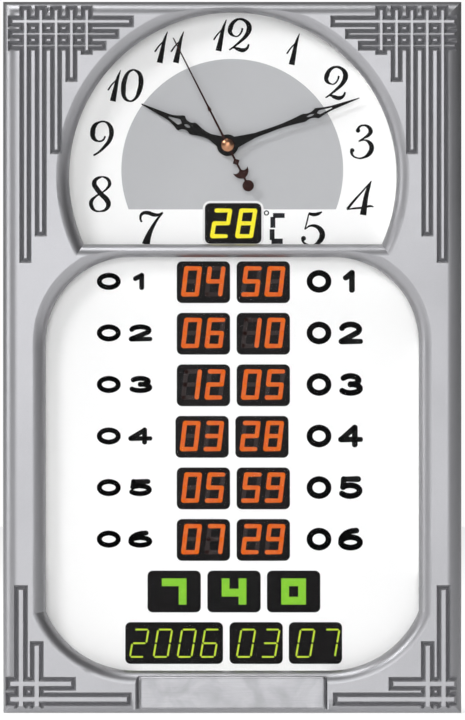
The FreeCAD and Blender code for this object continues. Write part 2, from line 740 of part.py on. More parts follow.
def front_frame():
    """Moulded front of the case: a shell with both openings, lattices, nameplate recess and posts.

    A shallow groove inside its top lets the tip of the minute hand pass.
    """
    body = cased_block(0, FACE, EDGE_ROUNDING, -REAR_EDGE_STEP)
    corners = [upper_bars(-1), upper_bars(1), lower_bars(-1), lower_bars(1)]
    raised = [part for bars in corners for part in lattice_platform(bars)]
    body = body.multiFuse(raised + [plate_pad()])
    body = cut_openings(body, FACE - LIP_CREST, 0, LIP_ROUNDING, 0)

    cavity = cased_block(SIDE_WALL, CAVITY_FACE, EDGE_ROUNDING - SIDE_WALL, 1)
    front_part = cavity.common(block((-FAR, FAR), (FACE, PANE_FRONT), (-FAR, FAR)))
    lip = LIP_ROUNDING - LIP_WALL
    front_part = cut_openings(front_part, CAVITY_FACE - LIP_CREST, LIP_WALL, lip, 0)
    rear_part = cavity.common(block((-FAR, FAR), (PANE_FRONT, 1), (-FAR, FAR)))
    body = body.cut(front_part).cut(rear_part)

    body = body.cut(plate_recess())
    for bars in corners:
        body = body.cut(lattice_cut(bars))

    root = CAVITY_FACE - 1
    posts = [rod(x, z, POST_RADIUS, (root, -CUP_DEPTH)) for x, z in post_places()]
    bosses = [rod(x, z, POST_RADIUS, (root, DIAL_BACK)) for x, z in chassis_screw_places()]
    body = body.multiFuse(posts + bosses)
    pilot = SCREW_RADIUS + SCREW_CLEARANCE
    depth = SCREW_LENGTH + 1
    holes = [rod(x, z, pilot, (-CUP_DEPTH - depth, 0)) for x, z in post_places()]
    holes += [rod(x, z, pilot, (DIAL_BACK - depth, 0)) for x, z in chassis_screw_places()]
    holes.append(Part.makeCylinder(
        JACK_BARREL_RADIUS + JACK_GAP, 2 * SIDE_WALL, vec(JACK_X, JACK_Y, -HALF_HEIGHT - SIDE_WALL / 2),
        vec(0, 0, 1),
    ))
    sweep = (MINUTE_HAND_Y - HAND_SWEEP_GAP, MINUTE_HAND_Y + HAND_THICKNESS + HAND_SWEEP_GAP)
    holes.append(rod(SHAFT_X, SHAFT_Z, MINUTE_HAND_LENGTH + HAND_SWEEP_GAP, sweep))
    return [drill(body, holes)]


def nameplate():
    """Bare plate with bevelled front edges."""
    x, z = plate_sides()
    back = FACE + PLATE_FLOOR_DEPTH
    plate = block(x, (back - PLATE_THICKNESS, back), z)
    edges = [e for e in plate.Edges if e.BoundBox.YMax < back - PLATE_THICKNESS + 0.01]
    return [plate.makeChamfer(PLATE_BEVEL, edges)]


# Sheets

def front_pane():
    """Clear pane behind both openings."""
    return [block(
        (-PANE_HALF_WIDTH, PANE_HALF_WIDTH), (PANE_FRONT, PANE_BACK), (PANE_BOTTOM_Z, PANE_TOP_Z)
    )]


def segment_prism(radius, chord, y):
    """Circle of the dial opening cut off by its chord."""
    disc = rod(DIAL_CENTRE_X, DIAL_CENTRE_Z, radius, y)
    return disc.common(block((-FAR, FAR), y, (chord, FAR)))


def pane_spacers():
    """Walls behind the pane: an arc each side of the dial, and three strips round the panel.

    The arcs stop short of the top and the foot of the dial, where the minute hand passes.
    """
    inner = DIAL_RADIUS + SPACER_SETBACK
    y = (PANE_BACK, DIAL_FRONT)
    start_z = DIAL_CENTRE_Z + inner * math.cos(math.radians(SPACER_ARC_START))
    ring = segment_prism(inner + SPACER_WALL, DIAL_CHORD_Z, y).cut(segment_prism(inner, DIAL_CHORD_Z, y))
    arcs = [ring.common(block(x, y, (DIAL_CHORD_Z, start_z))) for x in ((-FAR, 0), (0, FAR))]
    y = (PANE_BACK, PANEL_FRONT)
    near = WINDOW_HALF_WIDTH + SPACER_SETBACK
    far = near + SPACER_WALL
    z = (WINDOW_BOTTOM_Z + WINDOW_BOTTOM_RADIUS, WINDOW_TOP_Z - WINDOW_TOP_RADIUS)
    strips = [block(x, y, z) for x in ((-far, -near), (near, far))]
    foot = WINDOW_BOTTOM_Z - SPACER_SETBACK
    strips.append(block((-WINDOW_BOTTOM_ARC_X, WINDOW_BOTTOM_ARC_X), y, (foot - SPACER_WALL, foot)))
    return arcs + strips


def dial_plate_bottom():
    """Lower edge of the dial plate."""
    return DIAL_CHORD_Z - SPACER_SETBACK - SPACER_WALL


def dial_plate():
    """Dial with its holes for the bush and the temperature display."""
    y = (DIAL_FRONT, DIAL_BACK)
    plate = block((-DIAL_PLATE_HALF_WIDTH, DIAL_PLATE_HALF_WIDTH), y, (dial_plate_bottom(), PANE_TOP_Z))
    top = [
        e for e in plate.Edges
        if abs(e.tangentAt(e.FirstParameter).y) > 0.9 and e.BoundBox.Center.z > PANE_TOP_Z - 1
    ]
    plate = plate.makeFillet(WINDOW_TOP_RADIUS, top)
    window = temperature_block(MODULE_GAP, y)
    return [drill(plate, [rod(SHAFT_X, SHAFT_Z, BUSH_RADIUS + SCREW_CLEARANCE, y), window])]


def temperature_block(grow, y):
    """Block of the temperature display."""
    size = (TEMPERATURE_WIDTH + 2 * grow, TEMPERATURE_HEIGHT + 2 * grow)
    return rounded_block((TEMPERATURE_X, TEMPERATURE_Z), size, MODULE_CORNER, y)


def time_places():
    """Centres of the twelve time displays."""
    return [
        (x + TIME_ROW_SHIFTS[row], TOP_ROW_Z - row * ROW_PITCH)
        for row in range(TIME_ROWS) for x in TIME_COLUMNS_X
    ]


def day_places():
    """Centres of the three day displays."""
    return [(x, TOP_ROW_Z - TIME_ROWS * ROW_PITCH) for x in DAY_COLUMNS_X]


def date_places():
    """Centre and width of each date display."""
    z = TOP_ROW_Z - (TIME_ROWS + 1) * ROW_PITCH
    return [((YEAR_X, z), LONG_MODULE_WIDTH)] + [((x, z), MODULE_WIDTH) for x in DATE_COLUMNS_X]


def all_modules():
    """Centre and width of every display in the lower panel."""
    return [(place, MODULE_WIDTH) for place in time_places() + day_places()] + date_places()


def module(place, width, grow, y):
    """Block of one LED module."""
    return rounded_block(place, (width + 2 * grow, MODULE_HEIGHT + 2 * grow), MODULE_CORNER, y)


def modules(places):
    """LED modules from just behind the panel's face, through the chassis, to the display board."""
    y = (PANEL_FRONT + MODULE_RECESS, CHASSIS_BACK)
    return [module(place, width, 0, y) for place, width in places]


def display_panel():
    """Printed panel with a window for each display."""
    y = (PANEL_FRONT, PANEL_BACK)
    top = dial_plate_bottom() - SHEET_EDGE_GAP
    panel = block((-PANEL_HALF_WIDTH, PANEL_HALF_WIDTH), y, (PANEL_BOTTOM_Z, top))
    return [drill(panel, [module(place, width, MODULE_GAP, y) for place, width in all_modules()])]


def display_board():
    """Board behind the LED modules, screwed to the back of the chassis at its corners."""
    y = (CHASSIS_BACK, DISPLAY_BOARD_BACK)
    board = block(
        (-DISPLAY_BOARD_HALF_WIDTH, DISPLAY_BOARD_HALF_WIDTH), y,
        (DISPLAY_BOARD_BOTTOM_Z, DISPLAY_BOARD_TOP_Z),
    )
    radius = SMALL_SCREW_RADIUS + SCREW_CLEARANCE
    holes = [rod(x, z, radius, y) for x, z in display_screw_places()]
    holes += [rod(x, z, STANDOFF_RADIUS + HOLE_CLEARANCE, y) for x, z in control_screw_places()]
    return [drill(board, holes)]


def display_screw_places():
    """Corners of the display board where it is screwed to the chassis."""
    x = DISPLAY_BOARD_HALF_WIDTH - DISPLAY_SCREW_INSET
    low = DISPLAY_BOARD_BOTTOM_Z + DISPLAY_SCREW_INSET
    high = DISPLAY_BOARD_TOP_Z - DISPLAY_SCREW_INSET
    return [(side * x, z) for side in (-1, 1) for z in (low, high)]


def board_spacers():
    """Tubes between the printed panel and the chassis."""
    places = [(SPACER_TUBE_X, TOP_ROW_Z - row * ROW_PITCH) for row in SPACER_TUBE_ROWS]
    foot_z = TOP_ROW_Z - (TIME_ROWS + 1) * ROW_PITCH
    places.append((DISPLAY_BOARD_HALF_WIDTH - SPACER_TUBE_FOOT_INSET, foot_z))
    return [
        tube(side * x, z, SPACER_TUBE_RADIUS, SPACER_TUBE_BORE, (PANEL_BACK, DIAL_BACK))
        for side in (-1, 1) for x, z in places
    ]


def temperature_display():
    """LED module in the dial, which reaches back through the chassis."""
    front = DIAL_FRONT + MODULE_RECESS
    return [temperature_block(0, (front, DIAL_FRONT + TEMPERATURE_DEPTH))]


def temperature_board_sides():
    """X range and Z range of the temperature board."""
    x = TEMPERATURE_WIDTH / 2 + TEMPERATURE_BOARD_MARGIN
    z = TEMPERATURE_HEIGHT / 2
    return (TEMPERATURE_X - x, TEMPERATURE_X + x), (TEMPERATURE_Z - z, TEMPERATURE_Z + z)


def temperature_board():
    """Board behind the temperature display."""
    x, z = temperature_board_sides()
    y = (DIAL_FRONT + TEMPERATURE_DEPTH, DIAL_FRONT + TEMPERATURE_DEPTH + BOARD_THICKNESS)
    board = block(x, y, z)
    radius = SMALL_SCREW_RADIUS + SCREW_CLEARANCE
    return [drill(board, [rod(px, pz, radius, y) for px, pz in temperature_screw_places()])]


def temperature_screw_places():
    """The two screws of the temperature board."""
    x, _ = temperature_board_sides()
    inset = TEMPERATURE_BOARD_MARGIN / 2
    return [(x[0] + inset, TEMPERATURE_Z), (x[1] - inset, TEMPERATURE_Z)]


def control_screw_places():
    """Where the control board is screwed to its standoffs, which miss the windows of the chassis."""
    return [(CONTROL_LEFT + x, CONTROL_FOOT + z) for x, z in CONTROL_SCREWS]


def chassis_windows(y):
    """One window in the chassis for each row of displays."""
    half = MODULE_HEIGHT / 2 + CHASSIS_WINDOW_GAP
    sides = {}
    for (x, z), width in all_modules():
        left, right = sides.get(z, (FAR, -FAR))
        sides[z] = (min(left, x - width / 2), max(right, x + width / 2))
    return [
        block((left - CHASSIS_WINDOW_GAP, right + CHASSIS_WINDOW_GAP), y, (z - half, z + half))
        for z, (left, right) in sides.items()
    ]


def chassis():
    """Plate that carries dial, boards and movement, with a window for each row of displays."""
    y = (DIAL_BACK, CHASSIS_BACK)
    plate = block((-CHASSIS_HALF_WIDTH, CHASSIS_HALF_WIDTH), y, (CHASSIS_BOTTOM_Z, CHASSIS_TOP_Z))
    stands = [
        rod(x, z, STANDOFF_RADIUS, (DIAL_BACK, CONTROL_FRONT)) for x, z in control_screw_places()
    ]
    reach = DIAL_FRONT + TEMPERATURE_DEPTH
    thin = TEMPERATURE_BOARD_MARGIN / 2
    stands += [rod(x, z, thin - MODULE_GAP, (DIAL_BACK, reach)) for x, z in temperature_screw_places()]
    plate = plate.multiFuse(stands)
    through = (DIAL_BACK - 1, CHASSIS_BACK + 1)
    pilot = SMALL_SCREW_RADIUS + SCREW_CLEARANCE
    holes = [rod(SHAFT_X, SHAFT_Z, BUSH_RADIUS + SCREW_CLEARANCE, through)]
    holes.append(temperature_block(MODULE_GAP, through))
    holes += [rod(x, z, POST_RADIUS + HOLE_CLEARANCE, through) for x, z in post_places()]
    holes += [rod(x, z, SCREW_RADIUS + HOLE_CLEARANCE, through) for x, z in chassis_screw_places()]
    holes += [rod(x, z, pilot, through) for x, z in display_screw_places()]
    holes += [rod(x, z, pilot, (DIAL_BACK, CONTROL_FRONT)) for x, z in control_screw_places()]
    holes += [rod(x, z, pilot, (DIAL_BACK, reach)) for x, z in temperature_screw_places()]
    return [drill(plate, holes + chassis_windows(through))]


# Screws

def screw(x, z, seat, facing, head, radius, length):
    """Cross-head screw; facing is 1 if its head points to the back, -1 if to the front."""
    head_radius, head_height = head
    ends = sorted((seat, seat + facing * head_height))
    shank = sorted((seat - facing * length, seat))
    body = rod(x, z, head_radius, ends).fuse(rod(x, z, radius, shank))
    top = seat + facing * head_height
    cut_y = sorted((top - facing * CROSS_DEPTH, top + facing))
    arm = head_radius * 0.6
    wide = block((x - arm, x + arm), cut_y, (z - CROSS_WIDTH / 2, z + CROSS_WIDTH / 2))
    tall = block((x - CROSS_WIDTH / 2, x + CROSS_WIDTH / 2), cut_y, (z - arm, z + arm))
    return drill(body, [wide.fuse(tall)])


def large_screws(places, seat):
    """Screws of the case, heads to the back."""
    head = (SCREW_HEAD_RADIUS, SCREW_HEAD_HEIGHT)
    return [screw(x, z, seat, 1, head, SCREW_RADIUS, SCREW_LENGTH) for x, z in places]


def small_screws():
    """Screws of the boards and the loudspeaker."""
    head = (SMALL_SCREW_HEAD_RADIUS, SMALL_SCREW_HEAD_HEIGHT)
    radius, length = SMALL_SCREW_RADIUS, SMALL_SCREW_LENGTH
    temperature_seat = DIAL_FRONT + TEMPERATURE_DEPTH + BOARD_THICKNESS
    seat = DISPLAY_BOARD_BACK
    screws = [screw(x, z, seat, 1, head, radius, length) for x, z in display_screw_places()]
    screws += [screw(x, z, CONTROL_BACK, 1, head, radius, length) for x, z in control_screw_places()]
    screws += [
        screw(x, z, temperature_seat, 1, head, radius, length) for x, z in temperature_screw_places()
    ]
    seat = COVER_INNER - SPEAKER_FLANGE
    wide_head = (SPEAKER_SCREW_HEAD_RADIUS, SMALL_SCREW_HEAD_HEIGHT)
    reach = SPEAKER_FLANGE + COVER_THICKNESS / 2
    screws += [screw(x, z, seat, -1, wide_head, radius, reach) for x, z in speaker_screw_places()]
    return screws


# Hands

def hand_edge(points, mirrored):
    """One long side of a hand: straight runs and arcs through (place, half width) points.

    Each entry is a point, or a pair of a middle point and an end point for an arc.
    """
    sign = -1 if mirrored else 1
    edges = []
    start = points[0]
    for entry in points[1:]:
        if isinstance(entry[0], tuple):
            middle, end = entry
            edges.append(Part.Arc(
                vec(sign * start[1], 0, start[0]), vec(sign * middle[1], 0, middle[0]),
                vec(sign * end[1], 0, end[0]),
            ).toShape())
        else:
            end = entry
            edges.append(Part.LineSegment(
                vec(sign * start[1], 0, start[0]), vec(sign * end[1], 0, end[0])
            ).toShape())
        start = end
    return edges, start


def hand_blade(points, thickness):
    """Flat blade that is the same on both sides, standing up from the origin."""
    right, tip = hand_edge(points, False)
    left, _ = hand_edge(points, True)
    ends = [Part.LineSegment(vec(-tip[1], 0, tip[0]), vec(tip[1], 0, tip[0])).toShape()]
    base = points[0]
    ends.append(Part.LineSegment(vec(-base[1], 0, base[0]), vec(base[1], 0, base[0])).toShape())
    wire = Part.Wire(Part.__sortEdges__(right + left + ends))
    return Part.Face(wire).extrude(vec(0, thickness, 0))


def hand_hole(points, thickness):
    """Through hole in a blade, from its corners (place, offset)."""
    return slab([(offset, place) for place, offset in points], (-thickness, 2 * thickness))


def oval_hole(place, half_length, half_width, thickness):
    """Pointed oval slot along a blade."""
    low = vec(0, -thickness, place - half_length)
    high = vec(0, -thickness, place + half_length)
    right = Part.Arc(low, vec(half_width, -thickness, place), high).toShape()
    left = Part.Arc(low, vec(-half_width, -thickness, place), high).toShape()
    return Part.Face(Part.Wire([right, left])).extrude(vec(0, 3 * thickness, 0))


def placed_hand(blade, boss, bore, angle, y):
    """Blade with its boss and collar, turned clockwise from upright and set on the shaft."""
    body = blade.fuse(rod(0, 0, boss, (0, HAND_THICKNESS)))
    collar = rod(0, 0, bore + HAND_COLLAR_WALL, (HAND_THICKNESS, HAND_THICKNESS + HAND_COLLAR_HEIGHT))
    body = body.fuse(collar).removeSplitter()
    body = body.cut(rod(0, 0, bore, (-1, HAND_THICKNESS + HAND_COLLAR_HEIGHT + 1)))
    body.rotate(vec(0, 0, 0), Y_AXIS, angle)
    body.translate(vec(SHAFT_X, y, SHAFT_Z))
    return body


def hour_hand():
    """Broad ornate hand with a slot and a kite-shaped opening."""
    length = HOUR_HAND_LENGTH
    outline = [
        (0.0, 5.5),
        ((7.0, 3.6), (13.0, 2.1)),
        ((19.0, 2.5), (24.6, 4.2)),
        (26.6, 4.3),
        ((30.2, 3.0), (34.3, 5.5)),
        (36.0, 5.1),
        ((40.5, 3.0), (44.6, 2.0)),
        (length, 0.35),
    ]
    blade = hand_blade(outline, HAND_THICKNESS)
    kite = [(34.2, 0.0), (36.2, 2.0), (44.0, 0.3), (44.0, -0.3), (36.2, -2.0)]
    blade = drill(blade, [
        oval_hole(30.1, 2.3, 0.95, HAND_THICKNESS),
        hand_hole(kite, HAND_THICKNESS),
    ])
    return [placed_hand(blade, HOUR_HAND_BOSS, PIPE_RADIUS, HOUR_ANGLE, HOUR_HAND_Y)]


def minute_hand():
    """Long slender hand of the same pattern."""
    length = MINUTE_HAND_LENGTH
    outline = [
        (0.0, 5.0),
        ((9.0, 3.4), (20.0, 1.6)),
        (32.0, 1.35),
        ((44.0, 1.7), (53.0, 2.7)),
        (55.0, 2.75),
        ((58.6, 2.0), (63.6, 3.6)),
        (65.4, 3.3),
        ((70.0, 2.2), (75.0, 1.45)),
        (length, 0.3),
    ]
    blade = hand_blade(outline, HAND_THICKNESS)
    kite = [(63.8, 0.0), (65.6, 1.35), (74.6, 0.2), (74.6, -0.2), (65.6, -1.35)]
    blade = drill(blade, [
        oval_hole(59.2, 2.7, 0.62, HAND_THICKNESS),
        hand_hole(kite, HAND_THICKNESS),
    ])
    return [placed_hand(blade, MINUTE_HAND_BOSS, MINUTE_SHAFT_RADIUS, MINUTE_ANGLE, MINUTE_HAND_Y)]


def second_hand():
    """Thin hand with a spear on its blade and an anchor and disc on its tail."""
    blade = hand_blade([
        (0.0, 0.85), (25.8, 0.62), (26.3, 1.3), (29.5, 0.6), (SECOND_HAND_LENGTH, 0.4)
    ], HAND_THICKNESS)
    tail = hand_blade([
        (-SECOND_HAND_DISC_PLACE, 0.7), (-24.8, 0.75), ((-23.4, 3.4), (-18.6, 5.4)),
        ((-20.0, 2.6), (-18.8, 0.75)), (-14.6, 0.7), (-12.6, 2.6), (-10.8, 0.7), (0.0, 0.75),
    ], HAND_THICKNESS)
    disc = rod(0, -SECOND_HAND_DISC_PLACE, SECOND_HAND_DISC, (0, HAND_THICKNESS))
    blade = join([blade, tail, disc])
    return [placed_hand(blade, SECOND_HAND_BOSS, SECOND_SHAFT_RADIUS, SECOND_ANGLE, SECOND_HAND_Y)]


def centre_cap():
    """Small dome over the second hand's boss, hollow for the end of its shaft."""
    sphere_radius = (CAP_RADIUS ** 2 + CAP_HEIGHT ** 2) / (2 * CAP_HEIGHT)
    top = SECOND_HAND_Y - CAP_HEIGHT
    ball = Part.makeSphere(sphere_radius, vec(SHAFT_X, top + sphere_radius, SHAFT_Z))
    dome = ball.common(rod(SHAFT_X, SHAFT_Z, CAP_RADIUS + 1, (top - 1, SECOND_HAND_Y)))
    socket = rod(
        SHAFT_X, SHAFT_Z, SECOND_SHAFT_RADIUS + RUNNING_CLEARANCE,
        (SECOND_HAND_Y - 2 * SHAFT_PROUD_OF_HAND, SECOND_HAND_Y + 1),
    )
    return [dome.cut(socket)]


# Movement housing

def shaft_point(offset):
    """Point given from the hands' shaft."""
    return SHAFT_X + offset[0], SHAFT_Z + offset[1]


def wheel_points():
    """Shaft positions of the wheels, from the hands' shaft."""
    motion = polar(MOTION_DISTANCE, MOTION_DIRECTION)
    third = polar(THIRD_DISTANCE, THIRD_DIRECTION)
    fifth = polar(FIFTH_DISTANCE, FIFTH_DIRECTION)
    rotor_point = polar(ROTOR_DISTANCE, ROTOR_DIRECTION, fifth)
    module_size = 2 * MOTION_DISTANCE / (MINUTE_PINION_TEETH + MOTION_WHEEL_TEETH)
    setting_distance = module_size * (MOTION_WHEEL_TEETH + SETTING_PINION_TEETH) / 2
    setting = polar(setting_distance, SETTING_DIRECTION, motion)
    return {"motion": motion, "third": third, "fifth": fifth, "rotor": rotor_point, "setting": setting}


def cell_z():
    """Height of the cell's axis, from the hands' shaft."""
    return -MOVEMENT_HALF_SIZE + MOVEMENT_BAY_WALL + CELL_GAP + CELL_RADIUS


def bay_top():
    """Upper side of the cell's bay, from the hands' shaft."""
    return cell_z() + CELL_RADIUS + CELL_GAP


def chamber_bottom():
    """Lower side of the wheels' chamber, from the hands' shaft."""
    return bay_top() + MOVEMENT_BAY_WALL


def shaft_block(x, y, z):
    """Box given from the hands' shaft."""
    return block((SHAFT_X + x[0], SHAFT_X + x[1]), y, (SHAFT_Z + z[0], SHAFT_Z + z[1]))


def bridge_posts():
    """Where the posts under the train bridge stand, from the hands' shaft."""
    return [(side * BRIDGE_POST_X, z) for side in (-1, 1) for z in BRIDGE_POSTS_Z]


def movement_case():
    """Front half of the movement's housing, with the cell's bay below the wheels."""
    half = MOVEMENT_HALF_SIZE
    inner = half - MOVEMENT_WALL
    body = shaft_block((-half, half), (MOVEMENT_FRONT, CHAMBER_BACK), (-half, half))
    depth = (CHAMBER_FRONT, CHAMBER_BACK + 1)
    chamber = shaft_block((-inner, inner), depth, (chamber_bottom(), inner))
    bay = shaft_block((-inner, inner), depth, (MOVEMENT_BAY_WALL - half, bay_top()))
    body = drill(body, [chamber, bay])
    posts = []
    for offset in bridge_posts():
        x, z = shaft_point(offset)
        posts.append(rod(x, z, BRIDGE_POST_RADIUS, (MOVEMENT_FRONT, BRIDGE_Y)))
    points = wheel_points()
    x, z = shaft_point(points["motion"])
    posts.append(rod(x, z, MOTION_POST_RADIUS, (MOVEMENT_FRONT, MOTION_Y + MOTION_LAYER)))
    body = body.multiFuse(posts)
    holes = [rod(SHAFT_X, SHAFT_Z, BUSH_RADIUS + NUT_GAP, (MOVEMENT_FRONT - 1, CHAMBER_FRONT + 1))]
    pivot = (CHAMBER_FRONT - PIVOT_DEPTH, CHAMBER_FRONT)
    x, z = shaft_point(points["third"])
    holes.append(rod(x, z, THIRD_SHAFT_RADIUS + RUNNING_CLEARANCE, pivot))
    x, z = shaft_point(points["setting"])
    holes.append(rod(x, z, SETTING_SHAFT_RADIUS + RUNNING_CLEARANCE, pivot))
    return [drill(body, holes)]


def movement_back():
    """Rear half of the movement's housing, over the wheels only."""
    half = MOVEMENT_HALF_SIZE
    y = (CHAMBER_BACK, MOVEMENT_BACK)
    plate = shaft_block((-half, half), y, (bay_top(), half))
    points = wheel_points()
    pivots = [
        ((0.0, 0.0), SECOND_SHAFT_RADIUS), (points["fifth"], FIFTH_SHAFT_RADIUS),
        (points["rotor"], ROTOR_SHAFT_RADIUS),
    ]
    holes = []
    for offset, radius in pivots:
        x, z = shaft_point(offset)
        holes.append(rod(x, z, radius + RUNNING_CLEARANCE, (CHAMBER_BACK, CHAMBER_BACK + PIVOT_DEPTH)))
    x, z = shaft_point(points["setting"])
    holes.append(rod(x, z, SETTING_SHAFT_RADIUS + RUNNING_CLEARANCE, y))
    return [drill(plate, holes)]


def train_bridge():
    """Bearing plate between the slow and the fast wheels."""
    inner = MOVEMENT_HALF_SIZE - MOVEMENT_WALL - CELL_GAP
    y = (BRIDGE_Y, BRIDGE_Y + BRIDGE_THICKNESS)
    plate = shaft_block((-inner, inner), y, (chamber_bottom() + CELL_GAP, BRIDGE_TOP))
    points = wheel_points()
    holes = [rod(SHAFT_X, SHAFT_Z, SECOND_SHAFT_RADIUS + RUNNING_CLEARANCE, y)]
    for name, radius in (
        ("third", THIRD_SHAFT_RADIUS), ("fifth", FIFTH_SHAFT_RADIUS),
        ("rotor", ROTOR_SHAFT_RADIUS), ("setting", SETTING_SHAFT_RADIUS),
    ):
        x, z = shaft_point(points[name])
        holes.append(rod(x, z, radius + RUNNING_CLEARANCE, y))
    return [drill(plate, holes)]


def bush_front():
    """Front end of the threaded bush."""
    return DIAL_FRONT - BUSH_PROUD


def threaded_bush():
    """Bush that holds the movement to dial and chassis."""
    body = rod(SHAFT_X, SHAFT_Z, BUSH_RADIUS, (bush_front(), CHAMBER_FRONT))
    flange = (CHAMBER_FRONT, CHAMBER_FRONT + BUSH_FLANGE_THICKNESS)
    body = body.fuse(rod(SHAFT_X, SHAFT_Z, BUSH_FLANGE_RADIUS, flange))
    return [body.cut(rod(SHAFT_X, SHAFT_Z, BUSH_BORE, (bush_front(), CHAMBER_FRONT + 1)))]


def bush_nut():
    """Hexagon nut on the bush."""
    radius = NUT_ACROSS_FLATS / math.sqrt(3)
    back = DIAL_FRONT - WASHER_THICKNESS
    y = (back - NUT_THICKNESS, back)
    nut = slab([shaft_point(polar(radius, 60 * k)) for k in range(6)], y)
    return [nut.cut(rod(SHAFT_X, SHAFT_Z, BUSH_RADIUS + NUT_GAP, y))]


def bush_washer():
    """Washer under the nut."""
    y = (DIAL_FRONT - WASHER_THICKNESS, DIAL_FRONT)
    return [tube(SHAFT_X, SHAFT_Z, WASHER_RADIUS, BUSH_RADIUS + NUT_GAP, y)]


def movement_gasket():
    """Rubber ring between the chassis and the movement."""
    y = (CHASSIS_BACK, MOVEMENT_FRONT)
    return [tube(SHAFT_X, SHAFT_Z, GASKET_RADIUS, BUSH_RADIUS + NUT_GAP, y)]


# Wheels

def gear(centre, teeth, size, phase, y):
    """Toothed disc with straight-sided teeth; phase is the direction of one tooth in radians."""
    pitch_radius = teeth * size / 2
    root = pitch_radius - DEDENDUM * size
    tip = pitch_radius + ADDENDUM * size
    half = TOOTH_SHARE * math.pi * size / 2
    slope = math.tan(math.radians(PRESSURE_ANGLE))
    root_half = (half + DEDENDUM * size * slope) / root
    tip_half = (half - ADDENDUM * size * slope) / tip
    corners = []
    for number in range(teeth):
        middle = phase + 2 * math.pi * number / teeth
        for radius, turn in (
            (root, -root_half), (tip, -tip_half), (tip, tip_half), (root, root_half),
        ):
            corners.append((
                centre[0] + radius * math.cos(middle + turn),
                centre[1] + radius * math.sin(middle + turn),
            ))
    return slab(corners, y)


def mesh_phase(driver_phase, driver_teeth, driven_teeth, direction):
    """Phase of a wheel that meshes with another whose teeth and direction to it are given."""
    pitch = 2 * math.pi / driver_teeth
    offset = (driver_phase - direction) % pitch
    gap = direction + math.pi - offset * driver_teeth / driven_teeth
    return gap + math.pi / driven_teeth


def hour_wheel():
    """Wheel and pipe that carry the hour hand."""
    size = 2 * MOTION_DISTANCE / (MOTION_PINION_TEETH + HOUR_WHEEL_TEETH)
    direction = math.radians(MOTION_DIRECTION)
    wheel = gear((SHAFT_X, SHAFT_Z), HOUR_WHEEL_TEETH, size, direction, (HOUR_Y, HOUR_Y + HOUR_LAYER))
    pipe_front = HOUR_HAND_Y - SHAFT_PROUD_OF_HAND
    body = wheel.fuse(rod(SHAFT_X, SHAFT_Z, PIPE_RADIUS, (pipe_front, HOUR_Y)))
    return [body.cut(rod(SHAFT_X, SHAFT_Z, PIPE_BORE, (pipe_front, HOUR_Y + HOUR_LAYER)))]


def motion_wheel():
    """Wheel and pinion that gear the hour wheel down from the minute shaft."""
    centre = shaft_point(wheel_points()["motion"])
    back = math.radians(MOTION_DIRECTION) + math.pi
    wheel_size = 2 * MOTION_DISTANCE / (MINUTE_PINION_TEETH + MOTION_WHEEL_TEETH)
    pinion_size = 2 * MOTION_DISTANCE / (MOTION_PINION_TEETH + HOUR_WHEEL_TEETH)
    wheel_y = (MOTION_Y, MOTION_Y + MOTION_LAYER)
    pinion_y = (HOUR_Y, MOTION_Y)
    pinion_phase = back + math.pi / MOTION_PINION_TEETH
    body = gear(centre, MOTION_PINION_TEETH, pinion_size, pinion_phase, pinion_y)
    body = body.fuse(gear(centre, MOTION_WHEEL_TEETH, wheel_size, motion_wheel_phase(), wheel_y))
    bore = MOTION_POST_RADIUS + RUNNING_CLEARANCE
    return [body.cut(rod(centre[0], centre[1], bore, (HOUR_Y, MOTION_Y + MOTION_LAYER)))]


def motion_wheel_phase():
    """Direction of a tooth of the motion wheel that leaves room for the minute pinion's tooth."""
    direction = math.radians(MOTION_DIRECTION)
    return mesh_phase(direction, MINUTE_PINION_TEETH, MOTION_WHEEL_TEETH, direction)


def minute_arbor():
    """Hollow shaft with the minute pinion and the centre wheel."""
    pinion_size = 2 * MOTION_DISTANCE / (MINUTE_PINION_TEETH + MOTION_WHEEL_TEETH)
    wheel_size = 2 * THIRD_DISTANCE / (CENTRE_WHEEL_TEETH + THIRD_PINION_TEETH)
    centre = (SHAFT_X, SHAFT_Z)
    front = MINUTE_HAND_Y - SHAFT_PROUD_OF_HAND
    back = CENTRE_Y + CENTRE_LAYER
    pinion = gear(
        centre, MINUTE_PINION_TEETH, pinion_size, math.radians(MOTION_DIRECTION), (MOTION_Y, CENTRE_Y)
    )
    wheel = gear(centre, CENTRE_WHEEL_TEETH, wheel_size, math.radians(THIRD_DIRECTION), (CENTRE_Y, back))
    body = join([rod(SHAFT_X, SHAFT_Z, MINUTE_SHAFT_RADIUS, (front, back)), pinion, wheel])
    return [body.cut(rod(SHAFT_X, SHAFT_Z, MINUTE_SHAFT_BORE, (front - 1, back + 1)))]


def third_wheel():
    """Wheel between the second shaft and the centre wheel."""
    centre = shaft_point(wheel_points()["third"])
    direction = math.radians(THIRD_DIRECTION)
    back = direction + math.pi
    pinion_size = 2 * THIRD_DISTANCE / (CENTRE_WHEEL_TEETH + THIRD_PINION_TEETH)
    wheel_size = 2 * THIRD_DISTANCE / (SECOND_PINION_TEETH + THIRD_WHEEL_TEETH)
    pinion = gear(
        centre, THIRD_PINION_TEETH, pinion_size, back + math.pi / THIRD_PINION_TEETH, (CENTRE_Y, THIRD_Y)
    )
    wheel = gear(
        centre, THIRD_WHEEL_TEETH, wheel_size, back + math.pi / THIRD_WHEEL_TEETH,
        (THIRD_Y, THIRD_Y + THIRD_LAYER),
    )
    ends = (CHAMBER_FRONT - PIVOT_DEPTH * 0.8, BRIDGE_Y + BRIDGE_THICKNESS)
    return [join([rod(centre[0], centre[1], THIRD_SHAFT_RADIUS, ends), pinion, wheel])]


